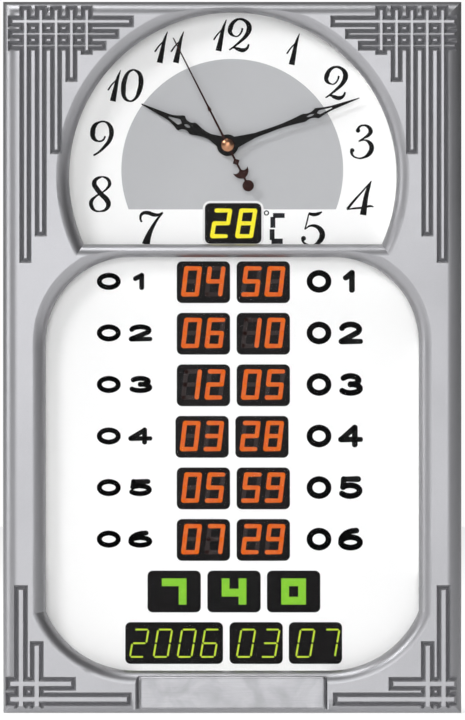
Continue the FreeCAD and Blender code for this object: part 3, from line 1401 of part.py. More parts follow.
def second_arbor():
    """Thin shaft of the second hand, with its pinion and wheel."""
    centre = (SHAFT_X, SHAFT_Z)
    pinion_size = 2 * THIRD_DISTANCE / (SECOND_PINION_TEETH + THIRD_WHEEL_TEETH)
    wheel_size = 2 * FIFTH_DISTANCE / (SECOND_WHEEL_TEETH + FIFTH_PINION_TEETH)
    pinion = gear(
        centre, SECOND_PINION_TEETH, pinion_size, math.radians(THIRD_DIRECTION),
        (THIRD_Y, THIRD_Y + THIRD_LAYER),
    )
    wheel = gear(
        centre, SECOND_WHEEL_TEETH, wheel_size, math.radians(FIFTH_DIRECTION),
        (SECOND_Y, SECOND_Y + SECOND_LAYER),
    )
    ends = (SECOND_HAND_Y - SHAFT_PROUD_OF_HAND, CHAMBER_BACK + PIVOT_DEPTH * 0.8)
    return [join([rod(SHAFT_X, SHAFT_Z, SECOND_SHAFT_RADIUS, ends), pinion, wheel])]


def fast_shaft_ends():
    """Ends of the shafts that run between the bridge and the housing's back."""
    return BRIDGE_Y, CHAMBER_BACK + PIVOT_DEPTH * 0.8


def fifth_wheel():
    """Wheel between the rotor and the second shaft."""
    centre = shaft_point(wheel_points()["fifth"])
    back = math.radians(FIFTH_DIRECTION) + math.pi
    pinion_size = 2 * FIFTH_DISTANCE / (SECOND_WHEEL_TEETH + FIFTH_PINION_TEETH)
    wheel_size = 2 * ROTOR_DISTANCE / (ROTOR_PINION_TEETH + FIFTH_WHEEL_TEETH)
    pinion = gear(
        centre, FIFTH_PINION_TEETH, pinion_size, back + math.pi / FIFTH_PINION_TEETH, (SECOND_Y, FIFTH_Y)
    )
    wheel = gear(
        centre, FIFTH_WHEEL_TEETH, wheel_size, math.radians(ROTOR_DIRECTION),
        (FIFTH_Y, FIFTH_Y + FIFTH_LAYER),
    )
    return [join([rod(centre[0], centre[1], FIFTH_SHAFT_RADIUS, fast_shaft_ends()), pinion, wheel])]


def rotor():
    """Magnet and pinion of the stepping motor."""
    centre = shaft_point(wheel_points()["rotor"])
    size = 2 * ROTOR_DISTANCE / (ROTOR_PINION_TEETH + FIFTH_WHEEL_TEETH)
    phase = math.radians(ROTOR_DIRECTION) + math.pi + math.pi / ROTOR_PINION_TEETH
    magnet = rod(centre[0], centre[1], ROTOR_MAGNET_RADIUS, (SECOND_Y, SECOND_Y + SECOND_LAYER))
    pinion = gear(
        centre, ROTOR_PINION_TEETH, size, phase, (SECOND_Y + SECOND_LAYER, FIFTH_Y + FIFTH_LAYER)
    )
    return [join([rod(centre[0], centre[1], ROTOR_SHAFT_RADIUS, fast_shaft_ends()), magnet, pinion])]


def setting_knob():
    """Knob at the movement's back whose pinion turns the motion wheel."""
    offset = wheel_points()["setting"]
    centre = shaft_point(offset)
    size = 2 * MOTION_DISTANCE / (MINUTE_PINION_TEETH + MOTION_WHEEL_TEETH)
    phase = mesh_phase(
        motion_wheel_phase(), MOTION_WHEEL_TEETH, SETTING_PINION_TEETH, math.radians(SETTING_DIRECTION)
    )
    pinion = gear(centre, SETTING_PINION_TEETH, size, phase, (MOTION_Y, MOTION_Y + MOTION_LAYER))
    front = MOVEMENT_BACK + LAYER_GAP
    knob = rod(centre[0], centre[1], SETTING_KNOB_RADIUS, (front, front + SETTING_KNOB_HEIGHT))
    shaft = rod(
        centre[0], centre[1], SETTING_SHAFT_RADIUS, (CHAMBER_FRONT - PIVOT_DEPTH * 0.8, front)
    )
    body = join([pinion, knob, shaft])
    notches = []
    for number in range(12):
        x, z = polar(SETTING_KNOB_RADIUS, 30 * number, centre)
        notches.append(rod(x, z, 0.35, (front - 1, front + SETTING_KNOB_HEIGHT + 1)))
    return [drill(body, notches)]


def stator():
    """Laminated plate round the rotor, with the coil's core between its legs."""
    y = (SECOND_Y, SECOND_Y + SECOND_LAYER)
    centre = shaft_point(wheel_points()["rotor"])
    bar = shaft_block((STATOR_LEFT, STATOR_RIGHT), y, STATOR_BAR_Z)
    left = shaft_block((STATOR_LEFT, STATOR_LEFT + STATOR_LEG), y, (STATOR_BAR_Z[0], STATOR_TOP))
    right = shaft_block((STATOR_RIGHT - STATOR_LEG, STATOR_RIGHT), y, (STATOR_BAR_Z[0], STATOR_TOP))
    lobe = rod(centre[0], centre[1], STATOR_LOBE_RADIUS, y)
    core = shaft_block(
        (STATOR_LEFT + STATOR_LEG, STATOR_RIGHT - STATOR_LEG), y,
        (CORE_Z - CORE_SIZE / 2, CORE_Z + CORE_SIZE / 2),
    )
    body = join([bar, left, right, lobe, core])
    return [body.cut(rod(centre[0], centre[1], ROTOR_MAGNET_RADIUS + STATOR_AIR_GAP, y))]


def drive_coil():
    """Winding on the stator's core."""
    left = SHAFT_X + STATOR_LEFT + STATOR_LEG + COIL_END_GAP
    right = SHAFT_X + STATOR_RIGHT - STATOR_LEG - COIL_END_GAP
    start = vec(left, SECOND_Y + SECOND_LAYER / 2, SHAFT_Z + CORE_Z)
    outer = Part.makeCylinder(COIL_RADIUS, right - left, start, vec(1, 0, 0))
    return [outer.cut(Part.makeCylinder(COIL_BORE, right - left, start, vec(1, 0, 0)))]


def movement_board():
    """Small board of the movement with its quartz crystal."""
    y = (CHAMBER_FRONT, CHAMBER_FRONT + QUARTZ_BOARD_THICKNESS)
    board = shaft_block(QUARTZ_BOARD_X, y, QUARTZ_BOARD_Z)
    middle = (QUARTZ_BOARD_Z[0] + QUARTZ_BOARD_Z[1]) / 2
    start = vec(SHAFT_X + QUARTZ_BOARD_X[0] + 2, y[1] + CRYSTAL_RADIUS, SHAFT_Z + middle)
    return [board, Part.makeCylinder(CRYSTAL_RADIUS, CRYSTAL_LENGTH, start, vec(1, 0, 0))]


def aa_cell():
    """Dry cell of the movement, lying across its bay."""
    y = CHAMBER_FRONT + CELL_GAP + CELL_RADIUS
    length = CELL_LENGTH + CELL_NUB_LENGTH
    start = vec(SHAFT_X - length / 2, y, SHAFT_Z + cell_z())
    can = Part.makeCylinder(CELL_RADIUS, CELL_LENGTH, start, vec(1, 0, 0))
    rims = [e for e in can.Edges if e.Closed]
    can = can.makeFillet(CONTACT_THICKNESS, rims)
    nub_start = start + vec(CELL_LENGTH, 0, 0)
    return [can.fuse(Part.makeCylinder(CELL_NUB_RADIUS, CELL_NUB_LENGTH, nub_start, vec(1, 0, 0)))]


def cell_contacts():
    """Sprung metal tongues at both ends of the cell."""
    inner = MOVEMENT_HALF_SIZE - MOVEMENT_WALL
    reach = (CELL_LENGTH + CELL_NUB_LENGTH) / 2
    y_middle = CHAMBER_FRONT + CELL_GAP + CELL_RADIUS
    y = (CHAMBER_FRONT, y_middle + CONTACT_WIDTH / 2)
    z = (cell_z() - CONTACT_WIDTH / 2, cell_z() + CONTACT_WIDTH / 2)
    contacts = []
    for side in (-1, 1):
        wall = sorted((side * inner, side * (inner - CONTACT_THICKNESS)))
        plate = shaft_block(wall, y, z)
        button = sorted((side * inner, side * reach))
        x = SHAFT_X + button[0]
        dome = Part.makeCylinder(
            CELL_NUB_RADIUS / 2, button[1] - button[0], vec(x, y_middle, SHAFT_Z + cell_z()), vec(1, 0, 0)
        )
        contacts.append(join([plate, dome]))
    return contacts


# Control board and what stands on it

def control_board():
    """Board with the clock's logic."""
    y = (CONTROL_FRONT, CONTROL_BACK)
    board = block(CONTROL_BOARD_X, y, CONTROL_BOARD_Z)
    radius = SMALL_SCREW_RADIUS + SCREW_CLEARANCE
    return [drill(board, [rod(x, z, radius, y) for x, z in control_screw_places()])]


def on_board(x, z, width, height, rise):
    """Block that stands on the back of the control board."""
    return block(
        (x - width / 2, x + width / 2), (CONTROL_BACK, CONTROL_BACK + rise),
        (z - height / 2, z + height / 2),
    )


def ribbon_plug_centre():
    """Centre of the ribbon's plug on the control board."""
    x = (RIBBON_X[0] + RIBBON_X[1]) / 2
    return x, CONTROL_BOARD_Z[1] - RIBBON_PLUG[1] / 2 - 1


def control_chips():
    """Processor, drivers, capacitors and the ribbon's plug."""
    chips = [
        on_board(CONTROL_LEFT + x, CONTROL_FOOT + z, width, height, rise)
        for x, z, width, height, rise in CHIP_BLOCKS
    ]
    ends = (CONTROL_BACK, CONTROL_BACK + CAPACITOR_HEIGHT)
    for x, z in CAPACITOR_PLACES:
        chips.append(rod(CONTROL_LEFT + x, CONTROL_FOOT + z, CAPACITOR_RADIUS, ends))
    x, z = ribbon_plug_centre()
    chips.append(on_board(x, z, *RIBBON_PLUG))
    return chips


def key_switches():
    """Push switches under the keys."""
    switches = []
    for x in KEY_XS:
        body = on_board(x, KEY_Z, SWITCH_SIZE, SWITCH_SIZE, SWITCH_HEIGHT)
        top = CONTROL_BACK + SWITCH_HEIGHT
        switches.append(body.fuse(rod(x, KEY_Z, PLUNGER_RADIUS, (top, top + PLUNGER_HEIGHT))))
    return switches


def key(x):
    """Key cap with its flange behind the cover and its stem over the switch."""
    flange_back = COVER_INNER - KEY_SEAT_GAP
    flange = (flange_back - KEY_FLANGE_THICKNESS, flange_back)
    plunger = CONTROL_BACK + SWITCH_HEIGHT + PLUNGER_HEIGHT
    stem = (plunger + KEY_TRAVEL + KEY_HOLE_GAP, flange[0])
    body = join([
        rod(x, KEY_Z, KEY_RADIUS, (flange_back, -KEY_BELOW_BACK)),
        rod(x, KEY_Z, KEY_FLANGE_RADIUS, flange),
        rod(x, KEY_Z, KEY_STEM_RADIUS, stem),
    ])
    rim = [e for e in body.Edges if e.Closed and e.BoundBox.YMin > -KEY_BELOW_BACK - 0.01]
    return [body.makeFillet(0.4, rim)]


def volume_control():
    """Turning resistor with a blind bush for the knob's shaft."""
    body = on_board(VOLUME_X, VOLUME_Z, VOLUME_BODY, VOLUME_BODY, VOLUME_BODY_HEIGHT)
    top = CONTROL_BACK + VOLUME_BODY_HEIGHT
    body = body.fuse(rod(VOLUME_X, VOLUME_Z, VOLUME_BUSH_RADIUS, (top, top + VOLUME_BUSH_HEIGHT)))
    bore = VOLUME_SHAFT_RADIUS + RUNNING_CLEARANCE
    return [body.cut(rod(VOLUME_X, VOLUME_Z, bore, (CONTROL_BACK + 1, top + VOLUME_BUSH_HEIGHT + 1)))]


def volume_knob():
    """Ribbed knob with a coin slot, sunk in the cover."""
    front = CONTROL_BACK + VOLUME_BODY_HEIGHT + VOLUME_BUSH_HEIGHT + LAYER_GAP
    back = -VOLUME_BELOW_BACK
    knob = rod(VOLUME_X, VOLUME_Z, VOLUME_KNOB_RADIUS, (front, back))
    shaft = rod(VOLUME_X, VOLUME_Z, VOLUME_SHAFT_RADIUS, (CONTROL_BACK + 1 + LAYER_GAP, front))
    body = join([knob, shaft])
    cuts = []
    for number in range(VOLUME_RIBS):
        x, z = polar(VOLUME_KNOB_RADIUS, 360 / VOLUME_RIBS * number, (VOLUME_X, VOLUME_Z))
        cuts.append(rod(x, z, 0.4, (front - 1, back + 1)))
    slot = VOLUME_SLOT_WIDTH / 2
    cuts.append(block(
        (VOLUME_X - VOLUME_KNOB_RADIUS, VOLUME_X + VOLUME_KNOB_RADIUS),
        (back - VOLUME_SLOT_DEPTH, back + 1), (VOLUME_Z - slot, VOLUME_Z + slot),
    ))
    return [drill(body, cuts)]


def switch_body():
    """Body of the power switch, with a track for its slider."""
    width, height, rise = POWER_BODY
    body = on_board(POWER_X, POWER_Z, width, height, rise)
    top = CONTROL_BACK + rise
    half = POWER_STEM / 2 + POWER_GAP
    track = block(
        (POWER_X - half - POWER_TRAVEL / 2, POWER_X + half + POWER_TRAVEL / 2),
        (top - POWER_FOOT_DEPTH, top + 1), (POWER_Z - half, POWER_Z + half),
    )
    return [body.cut(track)]


def power_slider():
    """Slider of the power switch, at the ON end of its travel."""
    x = POWER_X - POWER_TRAVEL / 2
    half = POWER_STEM / 2
    top = CONTROL_BACK + POWER_BODY[2]
    back = -POWER_BELOW_BACK
    foot = top - POWER_FOOT_DEPTH + POWER_GAP
    stem = block((x - half, x + half), (foot, back), (POWER_Z - half, POWER_Z + half))
    cap_x, cap_z = POWER_CAP[0] / 2, POWER_CAP[1] / 2
    cap = block(
        (x - cap_x, x + cap_x), (COVER_INNER - KEY_SEAT_GAP, back), (POWER_Z - cap_z, POWER_Z + cap_z)
    )
    return [join([stem, cap])]


def backup_cell():
    """Coin cell in a low ring that keeps the time through a power cut."""
    top = CONTROL_BACK + COIN_HOLDER_HEIGHT
    cell = rod(COIN_X, COIN_Z, COIN_RADIUS, (top, top + COIN_THICKNESS))
    ring = rod(COIN_X, COIN_Z, COIN_RADIUS - 1, (CONTROL_BACK, top))
    return [cell, ring]


def power_jack():
    """Low-voltage inlet in the foot of the case."""
    wall_inner = SIDE_WALL - HALF_HEIGHT
    mouth = JACK_BELOW_FOOT - HALF_HEIGHT
    width, depth, height = JACK_BODY
    body = block(
        (JACK_X - width / 2, JACK_X + width / 2), (JACK_Y - depth / 2, JACK_Y + depth / 2),
        (wall_inner, wall_inner + height),
    )
    up = vec(0, 0, 1)
    start = vec(JACK_X, JACK_Y, mouth)
    body = body.fuse(Part.makeCylinder(JACK_BARREL_RADIUS, wall_inner - mouth, start, up))
    body = body.cut(Part.makeCylinder(JACK_BORE, JACK_BORE_DEPTH, start, up))
    pin = Part.makeCylinder(JACK_PIN_RADIUS, JACK_BORE_DEPTH - 1, start + vec(0, 0, 1), up)
    return [body.fuse(pin)]


# Loudspeaker

def turned(points, x, z):
    """Solid turned about a line along Y through (x, z), from its section (radius, y)."""
    corners = [vec(x + radius, y, z) for radius, y in points + points[:1]]
    return Part.Face(Part.makePolygon(corners)).revolve(vec(x, 0, z), Y_AXIS, 360)


def speaker_screw_places():
    """The four screws that clamp the loudspeaker's rim."""
    return [polar(SPEAKER_SCREW_CIRCLE, 45 + 90 * k, (SPEAKER_X, SPEAKER_Z)) for k in range(4)]


def speaker_frame():
    """Pressed basket of the loudspeaker."""
    rim = COVER_INNER
    low = rim - SPEAKER_FLANGE
    inner = SPEAKER_RADIUS - SPEAKER_RIM
    floor = rim - SPEAKER_DEPTH
    sheet = SPEAKER_SHEET
    section = [
        (inner, rim), (SPEAKER_RADIUS, rim), (SPEAKER_RADIUS, low), (inner + sheet, low),
        (SPEAKER_THROAT + sheet, floor - sheet), (CONE_NECK, floor - sheet), (CONE_NECK, floor),
        (SPEAKER_THROAT, floor), (inner, low),
    ]
    return [turned(section, SPEAKER_X, SPEAKER_Z)]


def speaker_cone():
    """Paper cone with its dust dome."""
    rim = COVER_INNER - SPEAKER_FLANGE / 2
    outer = SPEAKER_RADIUS - SPEAKER_RIM
    deep = COVER_INNER - SPEAKER_DEPTH * 0.7
    thick = CONE_THICKNESS
    section = [
        (outer, rim), (outer, rim - thick), (outer - 2, rim - thick), (CONE_NECK + 1, deep - thick),
        (0, deep - thick), (0, deep + 2), (CONE_NECK, deep), (outer - 2, rim),
    ]
    return [turned(section, SPEAKER_X, SPEAKER_Z)]


def speaker_magnet():
    """Ring magnet with its back plate."""
    front = COVER_INNER - SPEAKER_DEPTH - SPEAKER_SHEET
    magnet = rod(SPEAKER_X, SPEAKER_Z, MAGNET_RADIUS, (front - MAGNET_THICKNESS, front))
    rims = [e for e in magnet.Edges if e.Closed]
    return [magnet.makeChamfer(SPEAKER_SHEET / 2, rims)]


def ribbon_cable():
    """Flat cable from the display board to the control board."""
    thick = RIBBON_THICKNESS
    bend = RIBBON_BEND
    x = RIBBON_X[0]
    top_z = RIBBON_Z + thick
    _, plug_z = ribbon_plug_centre()
    end_z = plug_z + RIBBON_PLUG[1] / 2
    y_in = CONTROL_BACK + RIBBON_PLUG[2] / 2
    y_out = y_in + thick
    start = DISPLAY_BOARD_BACK
    slant = math.sqrt(0.5)

    def corner(radius):
        """Quarter bend about the cable's inner corner."""
        cy, cz = y_in - bend, RIBBON_Z - bend
        return Part.Arc(
            vec(x, cy, cz + radius), vec(x, cy + slant * radius, cz + slant * radius),
            vec(x, cy + radius, cz),
        ).toShape()

    outer, inner = bend + thick, bend
    edges = [
        Part.LineSegment(vec(x, start, top_z), vec(x, y_in - bend, top_z)).toShape(),
        corner(outer),
        Part.LineSegment(vec(x, y_out, RIBBON_Z - bend), vec(x, y_out, end_z)).toShape(),
        Part.LineSegment(vec(x, y_out, end_z), vec(x, y_in, end_z)).toShape(),
        Part.LineSegment(vec(x, y_in, end_z), vec(x, y_in, RIBBON_Z - bend)).toShape(),
        corner(inner),
        Part.LineSegment(vec(x, y_in - bend, RIBBON_Z), vec(x, start, RIBBON_Z)).toShape(),
        Part.LineSegment(vec(x, start, RIBBON_Z), vec(x, start, top_z)).toShape(),
    ]
    face = Part.Face(Part.Wire(Part.__sortEdges__(edges)))
    return [face.extrude(vec(RIBBON_X[1] - RIBBON_X[0], 0, 0))]


# Rear cover

def keyhole(side):
    """Keyhole for a wall screw: a round entry for its head with a slot above it."""
    y = (COVER_INNER - 1, 1)
    x = side * KEYHOLE_X
    slot = KEYHOLE_SLOT_RADIUS
    top = KEYHOLE_Z + KEYHOLE_RISE
    return rod(x, KEYHOLE_Z, KEYHOLE_HEAD_RADIUS, y).multiFuse([
        block((x - slot, x + slot), y, (KEYHOLE_Z, top)), rod(x, top, slot, y),
    ])


def grille_slots():
    """Sound slots over the loudspeaker, cut off by a circle."""
    y = (COVER_INNER - 1, 1)
    circle = rod(SPEAKER_X, SPEAKER_Z, GRILLE_RADIUS, y)
    count = int(2 * GRILLE_RADIUS / GRILLE_PITCH)
    slots = []
    for number in range(count):
        z = SPEAKER_Z + (number - (count - 1) / 2) * GRILLE_PITCH
        for side in (-1, 1):
            ends = sorted((SPEAKER_X + side * GRILLE_SLOT, SPEAKER_X + side * GRILLE_RADIUS))
            slots.append(block(ends, y, (z - GRILLE_SLOT / 2, z + GRILLE_SLOT / 2)).common(circle))
    return slots


def rear_cover():
    """Flat back with sunk screws, keyholes, grille, door opening and holes for the controls."""
    x = INNER_HALF_WIDTH - COVER_GAP
    z = INNER_HALF_HEIGHT - COVER_GAP
    y = (COVER_INNER, 0)
    cover = block((-x, x), y, (-z, z))
    cups = [rod(px, pz, CUP_RADIUS, (-CUP_DEPTH, COVER_INNER)) for px, pz in post_places()]
    stub = SPEAKER_SCREW_CIRCLE - SPEAKER_RADIUS - 2 * SCREW_CLEARANCE
    bosses = [
        rod(px, pz, stub, (COVER_INNER - SPEAKER_FLANGE, COVER_INNER))
        for px, pz in speaker_screw_places()
    ]
    cover = cover.multiFuse(cups + bosses)
    open_y = (COVER_INNER - 1, 1)
    holes = []
    for px, pz in post_places():
        holes.append(rod(px, pz, SCREW_HEAD_RADIUS + HOLE_CLEARANCE, (-CUP_SEAT_DEPTH, 1)))
        holes.append(rod(px, pz, SCREW_RADIUS + HOLE_CLEARANCE, (-CUP_DEPTH, 0)))
    pilot = SMALL_SCREW_RADIUS + SCREW_CLEARANCE
    depth = (COVER_INNER - SPEAKER_FLANGE, COVER_INNER + COVER_THICKNESS * 0.6)
    holes += [rod(px, pz, pilot, depth) for px, pz in speaker_screw_places()]
    holes += [keyhole(side) for side in (-1, 1)]
    holes += grille_slots()
    holes += [rod(kx, KEY_Z, KEY_RADIUS + KEY_HOLE_GAP, open_y) for kx in KEY_XS]
    holes.append(rod(VOLUME_X, VOLUME_Z, VOLUME_KNOB_RADIUS + HOLE_CLEARANCE, open_y))
    cap_x = POWER_CAP[0] / 2 + POWER_TRAVEL / 2 + POWER_GAP
    cap_z = POWER_CAP[1] / 2 + POWER_GAP
    holes.append(block((POWER_X - cap_x, POWER_X + cap_x), open_y, (POWER_Z - cap_z, POWER_Z + cap_z)))
    door = DOOR_HALF_SIZE
    inner = door - DOOR_LEDGE
    holes.append(shaft_block((-door, door), (-DOOR_THICKNESS, 1), (-door, door)))
    holes.append(shaft_block((-inner, inner), open_y, (-inner, inner)))
    return [drill(cover, holes)]


def movement_door():
    """Lift-off door over the movement, with a finger notch."""
    half = DOOR_HALF_SIZE - DOOR_GAP
    door = shaft_block((-half, half), (-DOOR_THICKNESS, 0), (-half, half))
    notch = rod(SHAFT_X, SHAFT_Z - half, DOOR_NOTCH_RADIUS, (-DOOR_NOTCH_DEPTH, 1))
    return [door.cut(notch)]


NODES = {
    "front_frame": front_frame,
    "nameplate": nameplate,
    "front_pane": front_pane,
    "pane_spacers": pane_spacers,
    "dial_plate": dial_plate,
    "display_panel": display_panel,
    "time_displays": lambda: modules([(place, MODULE_WIDTH) for place in time_places()]),
    "day_displays": lambda: modules([(place, MODULE_WIDTH) for place in day_places()]),
    "date_displays": lambda: modules(date_places()),
    "temperature_display": temperature_display,
    "display_board": display_board,
    "temperature_board": temperature_board,
    "board_spacers": board_spacers,
    "chassis": chassis,
    "chassis_screws": lambda: large_screws(chassis_screw_places(), CHASSIS_BACK),
    "small_screws": small_screws,
    "hour_hand": hour_hand,
    "minute_hand": minute_hand,
    "second_hand": second_hand,
    "centre_cap": centre_cap,
    "movement_case": movement_case,
    "movement_back": movement_back,
    "train_bridge": train_bridge,
    "threaded_bush": threaded_bush,
    "bush_nut": bush_nut,
    "bush_washer": bush_washer,
    "movement_gasket": movement_gasket,
    "hour_wheel": hour_wheel,
    "motion_wheel": motion_wheel,
    "minute_arbor": minute_arbor,
    "third_wheel": third_wheel,
    "second_arbor": second_arbor,
    "fifth_wheel": fifth_wheel,
    "rotor": rotor,
    "stator": stator,
    "drive_coil": drive_coil,
    "movement_board": movement_board,
    "setting_knob": setting_knob,
    "aa_cell": aa_cell,
    "cell_contacts": cell_contacts,
    "control_board": control_board,
    "control_chips": control_chips,
    "key_switches": key_switches,
    "hour_key": lambda: key(KEY_XS[0]),
    "minute_key": lambda: key(KEY_XS[1]),
    "mode_key": lambda: key(KEY_XS[2]),
    "stop_key": lambda: key(KEY_XS[3]),
    "volume_control": volume_control,
    "volume_knob": volume_knob,
    "switch_body": switch_body,
    "power_slider": power_slider,
    "power_jack": power_jack,
    "backup_cell": backup_cell,
    "speaker_frame": speaker_frame,
    "speaker_cone": speaker_cone,
    "speaker_magnet": speaker_magnet,
    "ribbon_cable": ribbon_cable,
    "rear_cover": rear_cover,
    "movement_door": movement_door,
    "cover_screws": lambda: large_screws(post_places(), -CUP_SEAT_DEPTH),
}


def write_node(name, solids):
    """Write one node's solids to its STEP file."""
    for solid in solids:
        if not solid.isValid() or len(solid.Solids) != 1:
            print(f"{name}: not one valid solid ({len(solid.Solids)}, {solid.isValid()})")
    bodies = [solid.Solids[0] if len(solid.Solids) == 1 else solid for solid in solids]
    shape = bodies[0] if len(bodies) == 1 else Part.makeCompound(bodies)
    shape.exportStep(f"parts/{name}.step")


os.makedirs("parts", exist_ok=True)
for node_name, make in NODES.items():
    write_node(node_name, make())
print(len(NODES), "nodes written")
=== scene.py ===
"""Wall-hung prayer-time clock: the finishes, prints and lit digits that dress its parts.

Metres in the scene, millimetres in the tables. X to the right as seen from the front, Z up, Y into the
wall. Each sub-assembly of the clock is a class, and so is each kind of finish.
"""
import logging
import math
from abc import ABC, abstractmethod
from dataclasses import dataclass
from enum import Enum

import bmesh
import bpy
from mathutils import Matrix, Vector


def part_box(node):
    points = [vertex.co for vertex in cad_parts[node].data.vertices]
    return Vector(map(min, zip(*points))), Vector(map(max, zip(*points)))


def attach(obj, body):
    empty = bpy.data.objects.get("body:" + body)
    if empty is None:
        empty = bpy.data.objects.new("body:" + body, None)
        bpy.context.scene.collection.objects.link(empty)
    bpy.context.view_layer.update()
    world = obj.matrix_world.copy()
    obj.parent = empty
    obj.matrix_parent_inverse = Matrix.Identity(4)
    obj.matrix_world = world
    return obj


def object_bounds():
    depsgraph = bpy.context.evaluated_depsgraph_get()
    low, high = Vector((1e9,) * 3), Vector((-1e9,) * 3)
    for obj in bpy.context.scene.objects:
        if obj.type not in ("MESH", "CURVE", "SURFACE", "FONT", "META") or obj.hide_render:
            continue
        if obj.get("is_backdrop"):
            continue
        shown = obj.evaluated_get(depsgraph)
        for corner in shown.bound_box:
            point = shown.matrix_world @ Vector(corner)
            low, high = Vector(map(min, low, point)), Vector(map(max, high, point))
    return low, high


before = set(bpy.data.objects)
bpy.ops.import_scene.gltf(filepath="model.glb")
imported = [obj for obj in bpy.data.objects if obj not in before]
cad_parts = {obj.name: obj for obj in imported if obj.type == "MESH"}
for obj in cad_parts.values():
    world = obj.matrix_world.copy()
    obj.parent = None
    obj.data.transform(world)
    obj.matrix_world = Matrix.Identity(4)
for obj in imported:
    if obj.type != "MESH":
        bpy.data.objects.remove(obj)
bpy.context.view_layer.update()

log = logging.getLogger("azan_clock")

MM = 0.001
TOUCH = 1e-6
SEGMENT_SIDES, PEN_SIDES, RING_SIDES, DISC_SIDES = 12, 10, 24, 128
ARC_STEP_DEGREES = 15
UPRIGHT = Matrix.Rotation(math.pi / 2, 3, "X")
Colour = tuple[float, float, float]
Point = tuple[float, float]
Block = tuple[float, float, float, float]
Stroke = tuple[tuple[float, float, float], ...]
Socket = bpy.types.NodeSocket


def shade(*channels: int) -> Colour:
    """Linear colour of a screen colour whose red, green and blue go from 0 to 255."""
    parts = [channel / 255 for channel in channels]
    return tuple(part / 12.92 if part <= 0.04045 else ((part + 0.055) / 1.055) ** 2.4 for part in parts)


def scaled(colour: Colour, factor: float, lift: float = 0.0) -> Colour:
    """A colour made darker or lighter by a factor and a lift, and held at or below white."""
    return tuple(min(1.0, factor * part + lift) for part in colour)


# Node trees and shared effects

class Wiring:
    """Node tree with short ways to add nodes and to feed them."""

    def __init__(self, tree: bpy.types.NodeTree) -> None:
        """Takes the tree that is wired."""
        self.tree = tree

    def feed(self, target: Socket, value: object) -> None:
        """Links an input to a socket, or sets it to a constant.

        Args:
            target: The input.
            value: A socket, a colour or another constant.
        """
        if isinstance(value, Socket):
            self.tree.links.new(value, target)
        else:
            target.default_value = (*value, 1.0) if target.type == "RGBA" else value

    def node(self, kind: str, inputs: dict[str | int, object], **settings: object) -> bpy.types.Node:
        """Adds a node.

        Args:
            kind: Type of the node.
            inputs: What feeds each input, by its name or number.
            settings: Properties to set on the node.

        Returns:
            The new node.
        """
        made = self.tree.nodes.new(kind)
        for key, value in settings.items():
            setattr(made, key, value)
        for place, value in inputs.items():
            self.feed(made.inputs[place], value)
        return made

    def calculate(self, operation: str, *values: object) -> Socket:
        """Result of a sum on numbers and sockets."""
        return self.node("ShaderNodeMath", dict(enumerate(values)), operation=operation).outputs[0]

    def vector(self, operation: str, *values: object) -> bpy.types.NodeOutputs:
        """Results of a sum on vectors and sockets."""
        return self.node("ShaderNodeVectorMath", dict(enumerate(values)), operation=operation).outputs

    def ranged(
        self, source: Socket, low: float, high: float, start: float = 0.0, stop: float = 1.0
    ) -> Socket:
        """Maps a value from one range to another, clamped.

        Args:
            source: Value socket.
            low: Result where the value is at start.
            high: Result where the value is at stop.
            start: Value at the low end.
            stop: Value at the high end.

        Returns:
            The mapped value's socket.
        """
        inputs = {"Value": source, "From Min": start, "From Max": stop, "To Min": low, "To Max": high}
        return self.node("ShaderNodeMapRange", inputs).outputs["Result"]


class Effect(Enum):
    """Shared effects a finish can use."""

    GRAIN = "Grain"
    BRUSH = "Brush"
    HANDLING = "Handling"


def new_group(effect: Effect, vectors: str, numbers: str, results: str) -> Wiring:
    """Empty shader node group with its sockets.

    Args:
        effect: The effect it is for.
        vectors: Names of its vector inputs, with spaces between.
        numbers: Names of its number inputs.
        results: Names of its outputs.

    Returns:
        The group's wiring.
    """
    tree = bpy.data.node_groups.new(effect.value, "ShaderNodeTree")
    for names, way, kind in (
        (vectors, "INPUT", "NodeSocketVector"), (numbers, "INPUT", "NodeSocketFloat"),
        (results, "OUTPUT", "NodeSocketFloat"),
    ):
        for name in names.split():
            tree.interface.new_socket(name=name, in_out=way, socket_type=kind)
    return Wiring(tree)


def end_noise(group: Wiring, noise: Socket, contrast: Socket) -> None:
    """Ends a group with its noise spread about 0.5, and with the same noise as a height.

    Args:
        group: The group.
        noise: The noise.
        contrast: How far it spreads.
    """
    value = group.calculate("MULTIPLY_ADD", group.calculate("SUBTRACT", noise, 0.5), contrast, 0.5)
    group.node("NodeGroupOutput", {"Value": value, "Height": noise})


def build_effects() -> None:
    """Makes the even grain of moulded or painted surfaces, the strokes of metal and handling marks."""
    grain = new_group(Effect.GRAIN, "Vector", "Scale Contrast", "Value Height")
    start = grain.node("NodeGroupInput", {}).outputs
    noise = grain.node("ShaderNodeTexNoise", {
        "Vector": start["Vector"], "Scale": start["Scale"], "Detail": 3.0, "Roughness": 0.6,
    })
    end_noise(grain, noise.outputs["Fac"], start["Contrast"])

    brush = new_group(Effect.BRUSH, "Vector Stretch", "Contrast", "Value Height")
    start = brush.node("NodeGroupInput", {}).outputs
    long = brush.vector("MULTIPLY", start["Vector"], start["Stretch"])["Vector"]
    noise = brush.node("ShaderNodeTexNoise", {"Vector": long, "Scale": 1.0, "Detail": 4.0})
    end_noise(brush, noise.outputs["Fac"], start["Contrast"])

    handling = new_group(Effect.HANDLING, "Vector", "Scale", "Mask")
    start = handling.node("NodeGroupInput", {}).outputs
    noise = handling.node("ShaderNodeTexNoise", {
        "Vector": start["Vector"], "Scale": start["Scale"], "Detail": 5.0, "Distortion": 0.6,
    })
    clouds = handling.ranged(noise.outputs["Fac"], 0.0, 1.0, 0.38, 0.66)
    handling.node("NodeGroupOutput", {"Mask": clouds})


